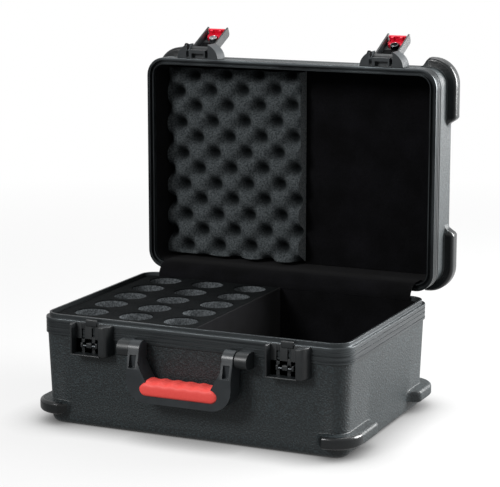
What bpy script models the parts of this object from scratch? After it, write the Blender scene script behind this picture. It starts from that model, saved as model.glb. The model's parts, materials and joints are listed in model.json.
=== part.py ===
"""Microphone case with moulded shells, metal valances, foam inserts, two locking latches and a handle.

Metres, +Z up, X across the front, the front towards -Y. The origin is the middle of the base's underside.
Every piece is drawn where it lies in the closed case. The lid pieces hang from an empty on the hinge axis
and the latch pieces from empties on their own pivots, and those empties are turned to the open rest pose.
"""
import math

import bmesh
import bpy
from mathutils import Euler, Matrix, Vector

# Case
case_width = 0.470
case_depth = 0.3295
base_height = 0.1539
lid_height = 0.084
corner_radius = 0.028
corner_steps = 6
fit_gap = 0.0003
rim_gap = 0.0004
overrun = 0.002
open_angle = 90.0
turned_sides = 20
small_sides = 12

# Moulded shells
shell_wall = 0.003
body_step = 0.0025
base_draft = 0.0045
lid_draft = 0.0015
edge_radius = 0.009
edge_steps = 4

# Corner bumpers moulded on the shells
bumper_reach = 0.011
bumper_chamfer = 0.004
bumper_root = 0.0012
bumper_taper = 0.012
bumper_front_leg = 0.0455
base_bumper_floor = 0.0165
base_bumper_height = 0.0175
base_side_leg = 0.100
base_rear_leg = 0.078
lid_bumper_floor = 0.005
lid_bumper_height = 0.0215
lid_side_leg = 0.0895

# Valances
band_height = 0.023
tongue_inset = 0.0049
tongue_height = 0.0056
tongue_thickness = 0.0034
tongue_lead = 0.0009
tongue_lead_height = 0.0026
web_thickness = 0.0025
leg_thickness = 0.0013
leg_height = 0.010
groove_depth = 0.0005
groove_width = 0.0013
groove_count = 3
lip_thickness = 0.0018
tongue_clearance = 0.0004

# Linings, foam and pads
lining_thickness = 0.002
lining_clearance = 0.0004
lining_drop = 0.001
block_right = -0.003
block_drop = 0.0048
floor_pad_thickness = 0.012
hole_diameter = 0.048
hole_columns = 3
hole_rows = 5
hole_pitch_x = 0.0711
hole_pitch_y = 0.0583
hole_middle_x = -0.1103
hole_middle_y = 0.0095
hole_sides = 20
divider_thickness = 0.003
compartment_pad_thickness = 0.005
lid_pad_thickness = 0.007
lid_foam_left = -0.222
lid_foam_right = 0.002
lid_foam_front = -0.146
lid_foam_back = 0.148
lid_foam_thickness = 0.0364
crate_depth = 0.024
crate_pitch_x = 0.0545
crate_pitch_y = 0.0488
crate_step = 0.0072
crate_turn = 3.4
crate_pit_x = -0.2049
crate_pit_y = -0.1070
foam_edge_radius = 0.012

# Fabric cover over the hinge gap
cover_half_width = 0.207
cover_thickness = 0.0015
cover_drop = 0.014
cover_rise = 0.006
cover_reach = 0.030
cover_clearance = 0.0004
cover_bow = 0.0035

# Hinges
hinge_inset = 0.095
hinge_width = 0.060
hinge_offset = 0.009
leaf_thickness = 0.002
leaf_length = 0.019
leaf_start = 0.0045
knuckle_radius = 0.0045
hinge_pin_radius = 0.002
middle_knuckle_width = 0.020
stop_width = 0.006
stop_reach = 0.0105
stop_depth = 0.007
rivet_spacing = 0.036
rivet_shank_radius = 0.0018
rivet_head_radius = 0.0038
rivet_head_height = 0.0012

# Keepers on the base front
latch_place = 0.149
keeper_offset = 0.002
latch_offset = -0.001
keeper_width = 0.063
keeper_reach = 0.0165
keeper_height = 0.0456
keeper_floor = 0.0023
keeper_back = 0.0021
keeper_chamfer = 0.005
pocket_width = 0.0368
pocket_radius = 0.001
rib_reach = 0.0092
rib_height = 0.0164
rib_below_pin = 0.0027
rib_outer = 0.0133
rib_inner = 0.0098
rib_middle = 0.0042
keeper_pin_radius = 0.0015
keeper_pin_drop = 0.0324
keeper_pin_reach = 0.0068
tab_width = 0.018
tab_back = 0.0018
tab_thickness = 0.0024
tab_height = 0.0045

# Latch housings and levers on the lid front
housing_width = 0.068
housing_reach = 0.0235
housing_crown = 0.0258
housing_length = 0.0262
housing_back = 0.0018
housing_end_gap = 0.0006
housing_sides = 20
slot_width = 0.0362
block_width = 0.0274
block_reach = 0.0135
block_length = 0.0100
window_width = 0.020
window_back = 0.0012
window_height = 0.0070
pivot_reach = 0.00945
pivot_rise = 0.0210
lever_width = 0.0350
lever_wall = 0.0024
lever_plate = 0.0023
lever_outer = 0.00705
lever_knuckle = 0.00695
lever_length = 0.0643
lever_shoulder = 0.004
lever_tip_chamfer = 0.003
lever_root = 0.004
latch_open_angle = 155.0
latch_pin_radius = 0.0015
latch_pin_half = 0.023
cam_radius = 0.0052
cam_width = 0.0042
cam_reach = 0.0178
cam_rise = 0.0072

# Lock slides and key cylinders in the levers
slide_width = 0.027
slide_thickness = 0.004
slide_start = 0.0038
slide_length = 0.0119
slide_head_length = 0.0034
slide_head_drop = 0.0006
slide_ridge_width = 0.0016
slide_ridge_height = 0.0004
slide_arm_width = 0.003
slide_arm_place = 0.0092
slide_arm_length = 0.0053
slide_arm_boss = 0.0022
hook_place = 0.007
hook_width = 0.004
hook_bottom = 0.0007
hook_shelf = 0.0037
hook_lip = 0.0014
hook_lip_height = 0.0031
hook_reach = 0.0033
cylinder_radius = 0.0060
cylinder_place = 0.0225
cylinder_proud = 0.0008
cylinder_length = 0.0096
key_slot_width = 0.0012
key_slot_length = 0.0064
key_slot_depth = 0.003

# Handle
handle_axis_reach = 0.0130
handle_axis_drop = 0.0269
handle_knuckle = 0.013
handle_outer = 0.0792
handle_arm = 0.0165
handle_front = 0.0325
handle_back = 0.0035
handle_fall = 0.070
handle_bar_height = 0.0275
handle_corner = 0.030
handle_corner_steps = 6
handle_inner_drop = 0.015
handle_inner_half = 0.048
handle_shoulder_drop = 0.025
handle_slot_width = 0.0100
handle_slot_height = 0.018
handle_slot_drop = 0.023
handle_slot_depth = 0.008
handle_slot_inset = 0.0033
handle_pin_radius = 0.003
bracket_width = 0.0178
bracket_radius = 0.0115
bracket_gap = 0.0012
bracket_pin_end = 0.014
grip_half = 0.059
grip_rise = 0.0095
grip_height = 0.0213
grip_wall = 0.0028
grip_wave = 0.0013
grip_waves = 6
grip_wave_steps = 8
grip_end_steps = 6

half_width = case_width / 2
half_depth = case_depth / 2
front = -half_depth
back = half_depth
rim = base_height
lid_rim = base_height + rim_gap
lid_top = base_height + lid_height
hinge_axis = Vector((0, back + hinge_offset, base_height + rim_gap / 2))
hinge_places = (hinge_inset - half_width, half_width - hinge_inset)


def material(name, colour, roughness, metallic=0):
    """A Principled material of one colour."""
    finish = bpy.data.materials.get(name) or bpy.data.materials.new(name)
    finish.use_nodes = True
    shader = finish.node_tree.nodes["Principled BSDF"]
    shader.inputs["Base Color"].default_value = (*colour, 1)
    shader.inputs["Roughness"].default_value = roughness
    shader.inputs["Metallic"].default_value = metallic
    return finish


def polyethylene():
    return material("moulded polyethylene", (0.024, 0.028, 0.029), 0.55)


def anodised():
    return material("anodised aluminium", (0.03, 0.032, 0.034), 0.35, 0.8)


def nylon():
    return material("grey nylon", (0.06, 0.066, 0.07), 0.45)


def steel():
    return material("plated steel", (0.55, 0.56, 0.57), 0.3, 1)


def plush():
    return material("black plush", (0.008, 0.008, 0.009), 0.95)


def foam():
    return material("charcoal foam", (0.045, 0.048, 0.05), 0.9)


def red_plastic():
    return material("red plastic", (0.72, 0.02, 0.05), 0.4)


def black_plastic():
    return material("black plastic", (0.012, 0.012, 0.013), 0.4)


def finish(name, mesh, look=None):
    """Turn a bmesh into a named object."""
    bmesh.ops.recalc_face_normals(mesh, faces=mesh.faces)
    data = bpy.data.meshes.new(name)
    mesh.to_mesh(data)
    mesh.free()
    piece = bpy.data.objects.new(name, data)
    bpy.context.scene.collection.objects.link(piece)
    if look:
        data.materials.append(look)
    return piece


def skin(name, rings, look=None, closed=False):
    """Join rings of equally many points into one closed skin, capped unless the last meets the first."""
    mesh = bmesh.new()
    loops = [[mesh.verts.new(point) for point in ring] for ring in rings]
    pairs = list(zip(loops, loops[1:]))
    if closed:
        pairs.append((loops[-1], loops[0]))
    for lower, upper in pairs:
        for index, corner in enumerate(lower):
            following = (index + 1) % len(lower)
            mesh.faces.new((corner, lower[following], upper[following], upper[index]))
    if not closed:
        mesh.faces.new(list(reversed(loops[0])))
        mesh.faces.new(loops[-1])
    return finish(name, mesh, look)


def prism(name, outline, axis, start, end, look=None):
    """Extrude an outline along an axis. An outline's pairs are the other two axes in alphabetical order."""
    def point(pair, along):
        values = list(pair)
        values.insert("xyz".index(axis), along)
        return values
    rings = [[point(pair, along) for pair in outline] for along in (start, end)]
    return skin(name, rings, look)


def box(name, low, high, look=None):
    """A box between two corners."""
    outline = [(low[0], low[1]), (high[0], low[1]), (high[0], high[1]), (low[0], high[1])]
    return prism(name, outline, "z", low[2], high[2], look)


def circle(middle, radius, sides, start=0, sweep=360):
    """Points round a circle, or along an arc of it where the sweep is less than a full turn."""
    count = sides if sweep == 360 else sides + 1
    angles = [math.radians(start + sweep * index / sides) for index in range(count)]
    return [(middle[0] + radius * math.cos(angle), middle[1] + radius * math.sin(angle)) for angle in angles]


def rod(name, middle, radius, axis, start, end, look=None, sides=turned_sides):
    """A round bar along an axis."""
    return prism(name, circle(middle, radius, sides), axis, start, end, look)


def rounded(left, right, near, far, radius, height, steps=corner_steps):
    """A rounded rectangle of points at one height."""
    corners = [(right, far, 0), (left, far, 90), (left, near, 180), (right, near, 270)]
    ring = []
    for x, y, start in corners:
        inward_x = -radius if x == right else radius
        inward_y = -radius if y == far else radius
        ring += circle((x + inward_x, y + inward_y), radius, steps, start, 90)
    return [(x, y, height) for x, y in ring]


def case_ring(inset, height):
    """The case's plan, drawn in by an inset, at one height."""
    edge_x = half_width - inset
    edge_y = half_depth - inset
    return rounded(-edge_x, edge_x, -edge_y, edge_y, corner_radius - inset, height)


def tool(piece):
    """Make a piece a hidden cutter or filler."""
    piece.hide_render = True
    piece.display_type = "WIRE"
    return piece


def boolean(piece, operation, others):
    for other in others:
        change = piece.modifiers.new(operation.lower(), "BOOLEAN")
        change.operation = operation
        change.solver = "EXACT"
        change.object = tool(other)
    return piece


def cut(piece, *others):
    return boolean(piece, "DIFFERENCE", others)


def fuse(piece, *others):
    return boolean(piece, "UNION", others)


def pivot(name, place, parent=None, turn_x=0):
    """An empty on a joint's axis, turned to the rest pose. The place is that of the closed case."""
    empty = bpy.data.objects.new(name, None)
    bpy.context.scene.collection.objects.link(empty)
    empty["closed_place"] = place
    offset = Vector(parent["closed_place"]) if parent else Vector((0, 0, 0))
    empty.parent = parent
    empty.location = Vector(place) - offset
    empty.rotation_euler = Euler((math.radians(turn_x), 0, 0))
    return empty


def hang(empty, *pieces):
    """Hang pieces, and the tools that shape them, from an empty. Their points are those of the closed case."""
    for piece in pieces:
        piece.parent = empty
        piece.matrix_parent_inverse = Matrix.Translation(-Vector(empty["closed_place"]))
        hang(empty, *[change.object for change in piece.modifiers if change.type == "BOOLEAN"])


def smooth(*pieces):
    for piece in pieces:
        piece.data.shade_smooth()
        piece.data.set_sharp_from_angle(angle=math.radians(35))


# Shells

def fillet(inset, height, radius, rise):
    """Insets and heights round a shell's outer edge, from its flat face to its wall."""
    pairs = circle((inset + radius, height + rise * radius), radius, edge_steps, 270 if rise > 0 else 90, -90 * rise)
    return pairs


def base_profile():
    """Inset and height round the base's wall, from the underside up, over the edge and down inside."""
    outer = fillet(body_step + base_draft, 0, edge_radius, 1)
    band_foot = rim - band_height
    edge = rim - web_thickness - fit_gap
    outer += [(body_step, band_foot - body_step), (body_step, edge)]
    inner = [(body_step + shell_wall, edge), (body_step + shell_wall, band_foot - body_step)]
    inner += reversed(fillet(body_step + base_draft + shell_wall, shell_wall, edge_radius - shell_wall, 1))
    return outer + inner


def lid_profile():
    """Inset and height round the lid's wall, from the panel down, over the edge and up inside."""
    outer = fillet(body_step + lid_draft, lid_top, edge_radius, -1)
    edge = lid_rim + tongue_height + tongue_clearance + web_thickness + fit_gap
    band_foot = lid_rim + band_height
    outer += [(body_step, band_foot), (body_step, edge)]
    inner = [(body_step + shell_wall, edge), (body_step + shell_wall, band_foot)]
    inner += reversed(fillet(body_step + lid_draft + shell_wall, lid_top - shell_wall, edge_radius - shell_wall, -1))
    return outer + inner


def bumper(name, side_x, side_y, wall_inset, low, high, side_leg):
    """A rail round one corner: a chamfered section carried along the plan, sunk a little at both ends."""
    centre = Vector((side_x * (half_width - corner_radius), side_y * (half_depth - corner_radius)))
    front_normal = Vector((0, side_y))
    side_normal = Vector((side_x, 0))
    along_front = Vector((-side_x, 0))
    along_side = Vector((0, -side_y))
    front_start = centre + front_normal * corner_radius
    side_start = centre + side_normal * corner_radius
    path = [(front_start + along_front * (bumper_front_leg - corner_radius), front_normal, 0)]
    path.append((front_start + along_front * (bumper_front_leg - corner_radius - bumper_taper), front_normal, 1))
    for index in range(corner_steps + 1):
        angle = math.radians(90 * index / corner_steps)
        normal = front_normal * math.cos(angle) + side_normal * math.sin(angle)
        path.append((centre + normal * corner_radius, normal, 1))
    path.append((side_start + along_side * (side_leg - corner_radius - bumper_taper), side_normal, 1))
    path.append((side_start + along_side * (side_leg - corner_radius), side_normal, 0))
    root = -(wall_inset + bumper_root)
    rings = []
    for place, normal, full in path:
        reach = bumper_reach if full else bumper_root / 2 - wall_inset
        chamfer = bumper_chamfer if full else bumper_root / 2
        section = [(root, low), (reach - chamfer, low), (reach, low + chamfer), (reach, high - chamfer),
                   (reach - chamfer, high), (root, high)]
        ring = [(*(place + normal * out), height) for out, height in section]
        rings.append(ring)
    return skin(name, rings)


def bumpers(prefix, wall_inset, low, high, side_leg, rear_leg):
    """The four corner rails of one shell."""
    rails = []
    for side_x in (-1, 1):
        rails.append(bumper(f"{prefix}_front_{side_x}", side_x, -1, wall_inset, low, high, side_leg))
        rails.append(bumper(f"{prefix}_rear_{side_x}", side_x, 1, wall_inset, low, high, rear_leg))
    return rails


def base_shell():
    shell = skin("base_shell", [case_ring(inset, height) for inset, height in base_profile()], polyethylene())
    fuse(shell, *bumpers("base_rail", body_step + base_draft, base_bumper_floor,
                         base_bumper_floor + base_bumper_height, base_side_leg, base_rear_leg))
    return shell


def lid_shell():
    shell = skin("lid_shell", [case_ring(inset, height) for inset, height in lid_profile()], polyethylene())
    high = lid_top - lid_bumper_floor
    fuse(shell, *bumpers("lid_rail", body_step + lid_draft, high - lid_bumper_height, high, lid_side_leg,
                         lid_side_leg))
    return shell


# Valances

def grooved_face(low, high):
    """Points up a band's outer face, with its grooves evenly spaced."""
    points = [(0, low)]
    spacing = (high - low) / (groove_count + 1)
    for index in range(groove_count):
        middle = low + spacing * (index + 1)
        points += [(0, middle - groove_width), (groove_depth, middle - groove_width / 2),
                   (groove_depth, middle + groove_width / 2), (0, middle + groove_width)]
    points.append((0, high))
    return points


def base_valance():
    """Band, web, tongue and inner leg, as one extrusion bent round the rim."""
    seat = rim - web_thickness
    inner = tongue_inset + tongue_thickness
    channel_inner = body_step + shell_wall + fit_gap
    profile = grooved_face(rim - band_height, rim)
    tongue_top = rim + tongue_height
    profile += [(tongue_inset, rim), (tongue_inset, tongue_top), (inner - tongue_lead, tongue_top)]
    profile += [(inner, tongue_top - tongue_lead_height), (inner, seat - leg_height)]
    profile += [(channel_inner, seat - leg_height), (channel_inner, seat)]
    profile += [(body_step - fit_gap, seat), (body_step - fit_gap, rim - band_height)]
    return skin("base_valance", [case_ring(inset, height) for inset, height in profile], anodised(), closed=True)


def lid_valance():
    """Band, groove for the tongue, lip, web and inner leg, as one extrusion bent round the lid's rim."""
    groove_top = lid_rim + tongue_height + tongue_clearance
    seat = groove_top + web_thickness
    groove_outer = tongue_inset - tongue_clearance
    groove_inner = tongue_inset + tongue_thickness + tongue_clearance
    lip_inner = groove_inner + lip_thickness
    channel_inner = body_step + shell_wall + fit_gap
    leg_inner = channel_inner + leg_thickness
    profile = [(groove_inner, lid_rim), (groove_inner, groove_top), (groove_outer, groove_top)]
    profile += [(groove_outer, lid_rim)]
    profile += grooved_face(lid_rim, lid_rim + band_height)
    profile += [(body_step - fit_gap, lid_rim + band_height), (body_step - fit_gap, seat)]
    profile += [(channel_inner, seat), (channel_inner, seat + leg_height), (leg_inner, seat + leg_height)]
    profile += [(leg_inner, seat), (lip_inner, seat), (lip_inner, lid_rim)]
    return skin("lid_valance", [case_ring(inset, height) for inset, height in profile], anodised(), closed=True)


# Linings and foam

base_lining_outer = tongue_inset + tongue_thickness + lining_clearance
base_lining_foot = body_step + base_draft + shell_wall + fit_gap
base_floor = shell_wall + fit_gap
block_inset = base_lining_foot + lining_thickness + fit_gap
lid_lining_outer = body_step + shell_wall + fit_gap + leg_thickness + fit_gap
lid_lining_foot = lid_lining_outer + lid_draft
lid_seat = lid_rim + tongue_height + tongue_clearance + web_thickness
lid_ceiling = lid_top - shell_wall - fit_gap
lid_inner = lid_lining_foot + lining_thickness + fit_gap
lining_radius = edge_radius - shell_wall - lining_thickness
fabric_floor = base_floor + lining_thickness + fit_gap
fabric_ceiling = lid_ceiling - lining_thickness - fit_gap


def base_lining():
    """Plush tray inside the base."""
    inner_radius = edge_radius - shell_wall
    outer = fillet(base_lining_foot, base_floor, inner_radius, 1) + [(base_lining_outer, rim - lining_drop)]
    inner = [(base_lining_outer + lining_thickness, rim - lining_drop)]
    inner += reversed(fillet(base_lining_foot + lining_thickness, base_floor + lining_thickness,
                             inner_radius - lining_thickness, 1))
    return skin("base_lining", [case_ring(inset, height) for inset, height in outer + inner], plush())


def lid_lining():
    """Plush tray inside the lid, from the valance's inner leg to the panel."""
    inner_radius = edge_radius - shell_wall
    outer = fillet(lid_lining_foot, lid_ceiling, inner_radius, -1)
    outer += [(lid_lining_outer, lid_seat + leg_height), (lid_lining_outer, lid_seat + fit_gap)]
    inner = [(lid_lining_outer + lining_thickness, lid_seat + fit_gap)]
    inner += [(lid_lining_outer + lining_thickness, lid_seat + leg_height)]
    inner += reversed(fillet(lid_lining_foot + lining_thickness, lid_ceiling - lining_thickness,
                             inner_radius - lining_thickness, -1))
    return skin("lid_lining", [case_ring(inset, height) for inset, height in outer + inner], plush())


def fitted(name, left, right, low, high, inset, look, low_bevel=0, high_bevel=0):
    """A block that fits the case's plan at an inset, square where it ends inside the case.

    Its edges along the case's wall are bevelled where they lie in a lining's rounded corner.
    """
    wall_left = left <= inset - half_width

    def ring(inset, height):
        edge_x = half_width - inset
        edge_y = half_depth - inset
        radius = corner_radius - inset
        if wall_left:
            outline = circle((radius - edge_x, edge_y - radius), radius, corner_steps, 90, 90)
            outline += circle((radius - edge_x, radius - edge_y), radius, corner_steps, 180, 90)
            outline += [(right, -edge_y), (right, edge_y)]
        else:
            outline = circle((edge_x - radius, radius - edge_y), radius, corner_steps, 270, 90)
            outline += circle((edge_x - radius, edge_y - radius), radius, corner_steps, 0, 90)
            outline += [(left, edge_y), (left, -edge_y)]
        return [(x, y, height) for x, y in outline]

    rings = [ring(inset + low_bevel, low)]
    if low_bevel:
        rings.append(ring(inset, low + low_bevel))
    if high_bevel:
        rings.append(ring(inset, high - high_bevel))
    rings.append(ring(inset + high_bevel, high))
    return skin(name, rings, look)


def hole_places():
    """The middles of the microphone holes."""
    places = []
    for column in range(hole_columns):
        for row in range(hole_rows):
            x = hole_middle_x + (column - (hole_columns - 1) / 2) * hole_pitch_x
            y = hole_middle_y + (row - (hole_rows - 1) / 2) * hole_pitch_y
            places.append((x, y))
    return places


block_top = rim + tongue_height - block_drop
block_bottom = fabric_floor + floor_pad_thickness + fit_gap


def foam_insert():
    """The block of foam with a round hole for each microphone, right through it."""
    block = fitted("foam_insert", -half_width, block_right, block_bottom, block_top, block_inset, foam())
    mesh = bmesh.new()
    for x, y in hole_places():
        rims = []
        for height in (block_bottom - overrun, block_top + overrun):
            rims.append([mesh.verts.new((*point, height)) for point in circle((x, y), hole_diameter / 2, hole_sides)])
        for index in range(hole_sides):
            following = (index + 1) % hole_sides
            mesh.faces.new((rims[0][index], rims[0][following], rims[1][following], rims[1][index]))
        mesh.faces.new(list(reversed(rims[0])))
        mesh.faces.new(rims[1])
    return cut(block, finish("foam_hole_tools", mesh))


def base_fillings():
    """The pad under the foam block, the plush divider beside it, and the compartment's floor pad."""
    pad = fitted("foam_floor_pad", -half_width, block_right, fabric_floor, fabric_floor + floor_pad_thickness,
                 block_inset, foam(), low_bevel=lining_radius)
    divider_left = block_right + fit_gap
    divider_right = divider_left + divider_thickness
    edge_y = half_depth - block_inset
    outline = [(lining_radius - edge_y, fabric_floor), (edge_y - lining_radius, fabric_floor),
               (edge_y, fabric_floor + lining_radius), (edge_y, block_top), (-edge_y, block_top),
               (-edge_y, fabric_floor + lining_radius)]
    divider = prism("divider_panel", outline, "x", divider_left, divider_right, plush())
    floor = fitted("compartment_pad", divider_right + fit_gap, half_width, fabric_floor,
                   fabric_floor + compartment_pad_thickness, block_inset, plush(), low_bevel=lining_radius)
    return [pad, divider, floor]


def crate_height(x, y):
    """How far the foam's bumps stand: a product of two cosines, which staggers peaks and pits."""
    across = math.radians(crate_turn)
    along_x = (x - crate_pit_x) * math.cos(across) - (y - crate_pit_y) * math.sin(across)
    along_y = (x - crate_pit_x) * math.sin(across) + (y - crate_pit_y) * math.cos(across)
    wave = math.cos(2 * math.pi * along_x / crate_pitch_x) * math.cos(2 * math.pi * along_y / crate_pitch_y)
    return -crate_depth / 2 * (wave + 1)


def lid_foam():
    """Convoluted foam under the lid's panel, its bumps towards the microphones."""
    columns = round((lid_foam_right - lid_foam_left) / crate_step)
    rows = round((lid_foam_back - lid_foam_front) / crate_step)
    mesh = bmesh.new()
    grid = []
    for row in range(rows + 1):
        y = lid_foam_front + (lid_foam_back - lid_foam_front) * row / rows
        line = []
        for column in range(columns + 1):
            x = lid_foam_left + (lid_foam_right - lid_foam_left) * column / columns
            line.append(mesh.verts.new((x, y, fabric_ceiling - lid_foam_thickness - crate_height(x, y))))
        grid.append(line)
    for row in range(rows):
        for column in range(columns):
            mesh.faces.new((grid[row][column], grid[row][column + 1], grid[row + 1][column + 1], grid[row + 1][column]))
    around = grid[0][:-1] + [line[-1] for line in grid[:-1]] + grid[-1][:0:-1] + [line[0] for line in grid[:0:-1]]
    upper = [mesh.verts.new((corner.co.x, corner.co.y, fabric_ceiling + overrun)) for corner in around]
    for index, corner in enumerate(around):
        following = (index + 1) % len(around)
        mesh.faces.new((corner, around[following], upper[following], upper[index]))
    mesh.faces.new(upper)
    piece = finish("lid_foam", mesh, foam())
    smooth(piece)
    trim = fitted("foam_trim", -half_width, lid_foam_right + overrun, lid_rim, fabric_ceiling, lid_inner, foam(),
                  high_bevel=lining_radius)
    return boolean(piece, "INTERSECT", [trim])


def lid_pad():
    """The flat plush pad on the right of the lid."""
    return fitted("lid_pad", lid_foam_right + fit_gap, half_width, fabric_ceiling - lid_pad_thickness,
                  fabric_ceiling, lid_inner, plush(), high_bevel=lining_radius)


def hinge_cover():
    """A strip of fabric from inside the base's rear wall, over the open gap, on to the lid's rear wall."""
    wall = back - (base_lining_outer - lining_clearance) - cover_clearance
    over = lid_lining_foot + lining_thickness + cover_clearance
    floor = hinge_axis.z + hinge_offset + over
    tongue_top = rim + tongue_height
    corner = Vector((hinge_axis.y, floor))
    start = Vector((wall, tongue_top))
    run = [(wall, rim - lining_drop + cover_clearance), (wall, tongue_top)]
    steps = 5
    bow = Vector((-1, 1)).normalized() * cover_bow
    for index in range(1, steps):
        share = index / steps
        run.append(tuple(start.lerp(corner, share) + bow * math.sin(math.pi * share)))
    run += [tuple(corner), (hinge_axis.y + cover_reach, floor)]
    other = []
    for index, (y, z) in enumerate(run):
        before = Vector(run[max(index - 1, 0)])
        after = Vector(run[min(index + 1, len(run) - 1)])
        along = (after - before).normalized()
        other.append((y - along.y * cover_thickness, z + along.x * cover_thickness))
    return prism("hinge_cover", run + other[::-1], "x", -cover_half_width, cover_half_width, plush())


# Hinges

def hinge(side, place, lid):
    """A leaf on each valance, three knuckles, a pin, and a lug on the base leaf that stops the lid."""
    axis = (hinge_axis.y, hinge_axis.z)
    half = hinge_width / 2
    middle = middle_knuckle_width / 2
    face = back + fit_gap
    outer = face + leaf_thickness
    near = axis[1] - leaf_start
    far = axis[1] + leaf_start
    base_leaf = box(f"hinge_base_leaf_{side}", (place - half, face, near - leaf_length), (place + half, outer, near),
                    steel())
    lid_leaf = box(f"hinge_lid_leaf_{side}", (place - half, face, far), (place + half, outer, far + leaf_length),
                   steel())
    bore = hinge_pin_radius + fit_gap
    for sign in (-1, 1):
        ends = sorted((place + sign * (middle + fit_gap), place + sign * half))
        knuckle = rod(f"base_knuckle_{side}_{sign}", axis, knuckle_radius, "x", *ends)
        web = [(face, near - leaf_thickness), (outer, near - leaf_thickness), (axis[0], axis[1] - knuckle_radius / 2),
               (axis[0] - knuckle_radius / 2, axis[1]), (face, near)]
        lug_ends = sorted((place + sign * (half - stop_width), place + sign * half))
        lug = prism(f"stop_lug_{side}_{sign}", stop_outline(axis, face), "x", *lug_ends)
        fuse(base_leaf, knuckle, prism(f"base_web_{side}_{sign}", web, "x", *ends), lug)
    web = [(face, far), (axis[0] - knuckle_radius / 2, axis[1]), (axis[0], axis[1] + knuckle_radius / 2),
           (outer, far + leaf_thickness), (face, far + leaf_thickness)]
    ends = (place - middle, place + middle)
    fuse(lid_leaf, rod(f"lid_knuckle_{side}", axis, knuckle_radius, "x", *ends),
         prism(f"lid_web_{side}", web, "x", *ends))
    reach = (place - half - overrun, place + half + overrun)
    cut(base_leaf, rod(f"base_bore_{side}", axis, bore, "x", *reach))
    cut(lid_leaf, rod(f"lid_bore_{side}", axis, bore, "x", *reach))
    pin = rod(f"hinge_pin_{side}", axis, hinge_pin_radius, "x", place - half, place + half, steel())
    hang(lid, lid_leaf)
    return base_leaf, lid_leaf, pin


def stop_outline(axis, face):
    """The stop lug's side view: its top is the open lid leaf's seat."""
    top = axis[1] + (axis[0] - face - leaf_thickness) - fit_gap
    toe = axis[0] + stop_reach
    return [(axis[0], axis[1]), (axis[0], axis[1] - knuckle_radius), (face, axis[1] - leaf_start - stop_depth),
            (face + leaf_thickness, axis[1] - leaf_start - stop_depth - leaf_thickness),
            (toe, top - stop_depth / 2), (toe, top), (axis[0] + knuckle_radius / 2, top)]


def rivets(side, place, leaf, band, level, parent=None):
    """Two rivets through one leaf and its band."""
    for number, sign in enumerate((-1, 1), 1):
        x = place + sign * rivet_spacing / 2
        inner = back - body_step + fit_gap + groove_depth
        outer = back + fit_gap + leaf_thickness + fit_gap
        name = f"{leaf.name}_rivet_{number}"
        rivet = rod(name, (x, level), rivet_shank_radius, "y", inner, outer + rivet_head_height / 2, steel(),
                    small_sides)
        head = rod(f"{name}_head", (x, level), rivet_head_radius, "y", outer, outer + rivet_head_height,
                   sides=small_sides)
        fuse(rivet, head)
        bore = rivet_shank_radius + fit_gap
        span = (back - body_step - overrun, outer + overrun)
        cut(leaf, rod(f"{name}_leaf_bore", (x, level), bore, "y", *span, sides=small_sides))
        cut(band, rod(f"{name}_band_bore", (x, level), bore, "y", *span, sides=small_sides))
        if parent:
            hang(parent, rivet)


# Keepers

keeper_bottom = rim - keeper_height
keeper_pin_height = rim - keeper_pin_drop
pocket_floor = keeper_bottom + keeper_floor
keeper_face = front - keeper_reach
pocket_back = front - keeper_back


def stepped_back(low, high, reach, chamfer):
    """Side view of a fitting on the base front: its back follows the step from the band to the wall."""
    step = rim - band_height - fit_gap
    seat = front + body_step - fit_gap
    return [(front - fit_gap, high), (front - fit_gap, step), (seat, step), (seat, low), (front - reach + chamfer, low),
            (front - reach, low + chamfer), (front - reach, high)]


def keeper(side, place):
    """A shroud with a pocket for the lever, ribs that hold the catch pin, and a tab that guides the lid."""
    half = keeper_width / 2
    middle = place + latch_offset
    body = place + keeper_offset
    shroud = prism(f"keeper_{side}", stepped_back(keeper_bottom, rim, keeper_reach, keeper_chamfer), "x",
                   body - half, body + half, nylon())
    outline = rounded(middle - pocket_width / 2, middle + pocket_width / 2, pocket_floor,
                      rim + pocket_radius + overrun, pocket_radius, 0, edge_steps)
    pocket = prism(f"pocket_{side}", [(x, y) for x, y, unused in outline], "y", keeper_face - overrun, pocket_back)
    cut(shroud, pocket)
    shapes = [(-rib_outer, -rib_inner), (-rib_middle, rib_middle), (rib_inner, rib_outer)]
    for number, (left, right) in enumerate(shapes):
        fuse(shroud, box(f"rib_{side}_{number}", (middle + left, front - rib_reach, keeper_pin_height - rib_below_pin),
                         (middle + right, pocket_back + keeper_back / 2, pocket_floor + rib_height)))
    tab = box(f"tab_{side}", (place - tab_width / 2, front - tab_back - tab_thickness, rim - keeper_chamfer),
              (place + tab_width / 2, front - tab_back, rim + tab_height))
    fuse(shroud, tab)
    pin_place = (front - keeper_pin_reach, keeper_pin_height)
    bore = rod(f"keeper_bore_{side}", pin_place, keeper_pin_radius + fit_gap, "x", middle - rib_outer - overrun,
               middle + rib_outer + overrun, sides=small_sides)
    cut(shroud, bore)
    pin = rod(f"keeper_pin_{side}", pin_place, keeper_pin_radius, "x", middle - rib_outer, middle + rib_outer,
              steel(), small_sides)
    return shroud, pin


# Latches

pivot_y = front - pivot_reach
pivot_z = lid_rim + pivot_rise
lever_face = pivot_y - lever_outer
lever_inner_face = pivot_y + lever_knuckle
lever_end = pivot_z - lever_length


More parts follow.
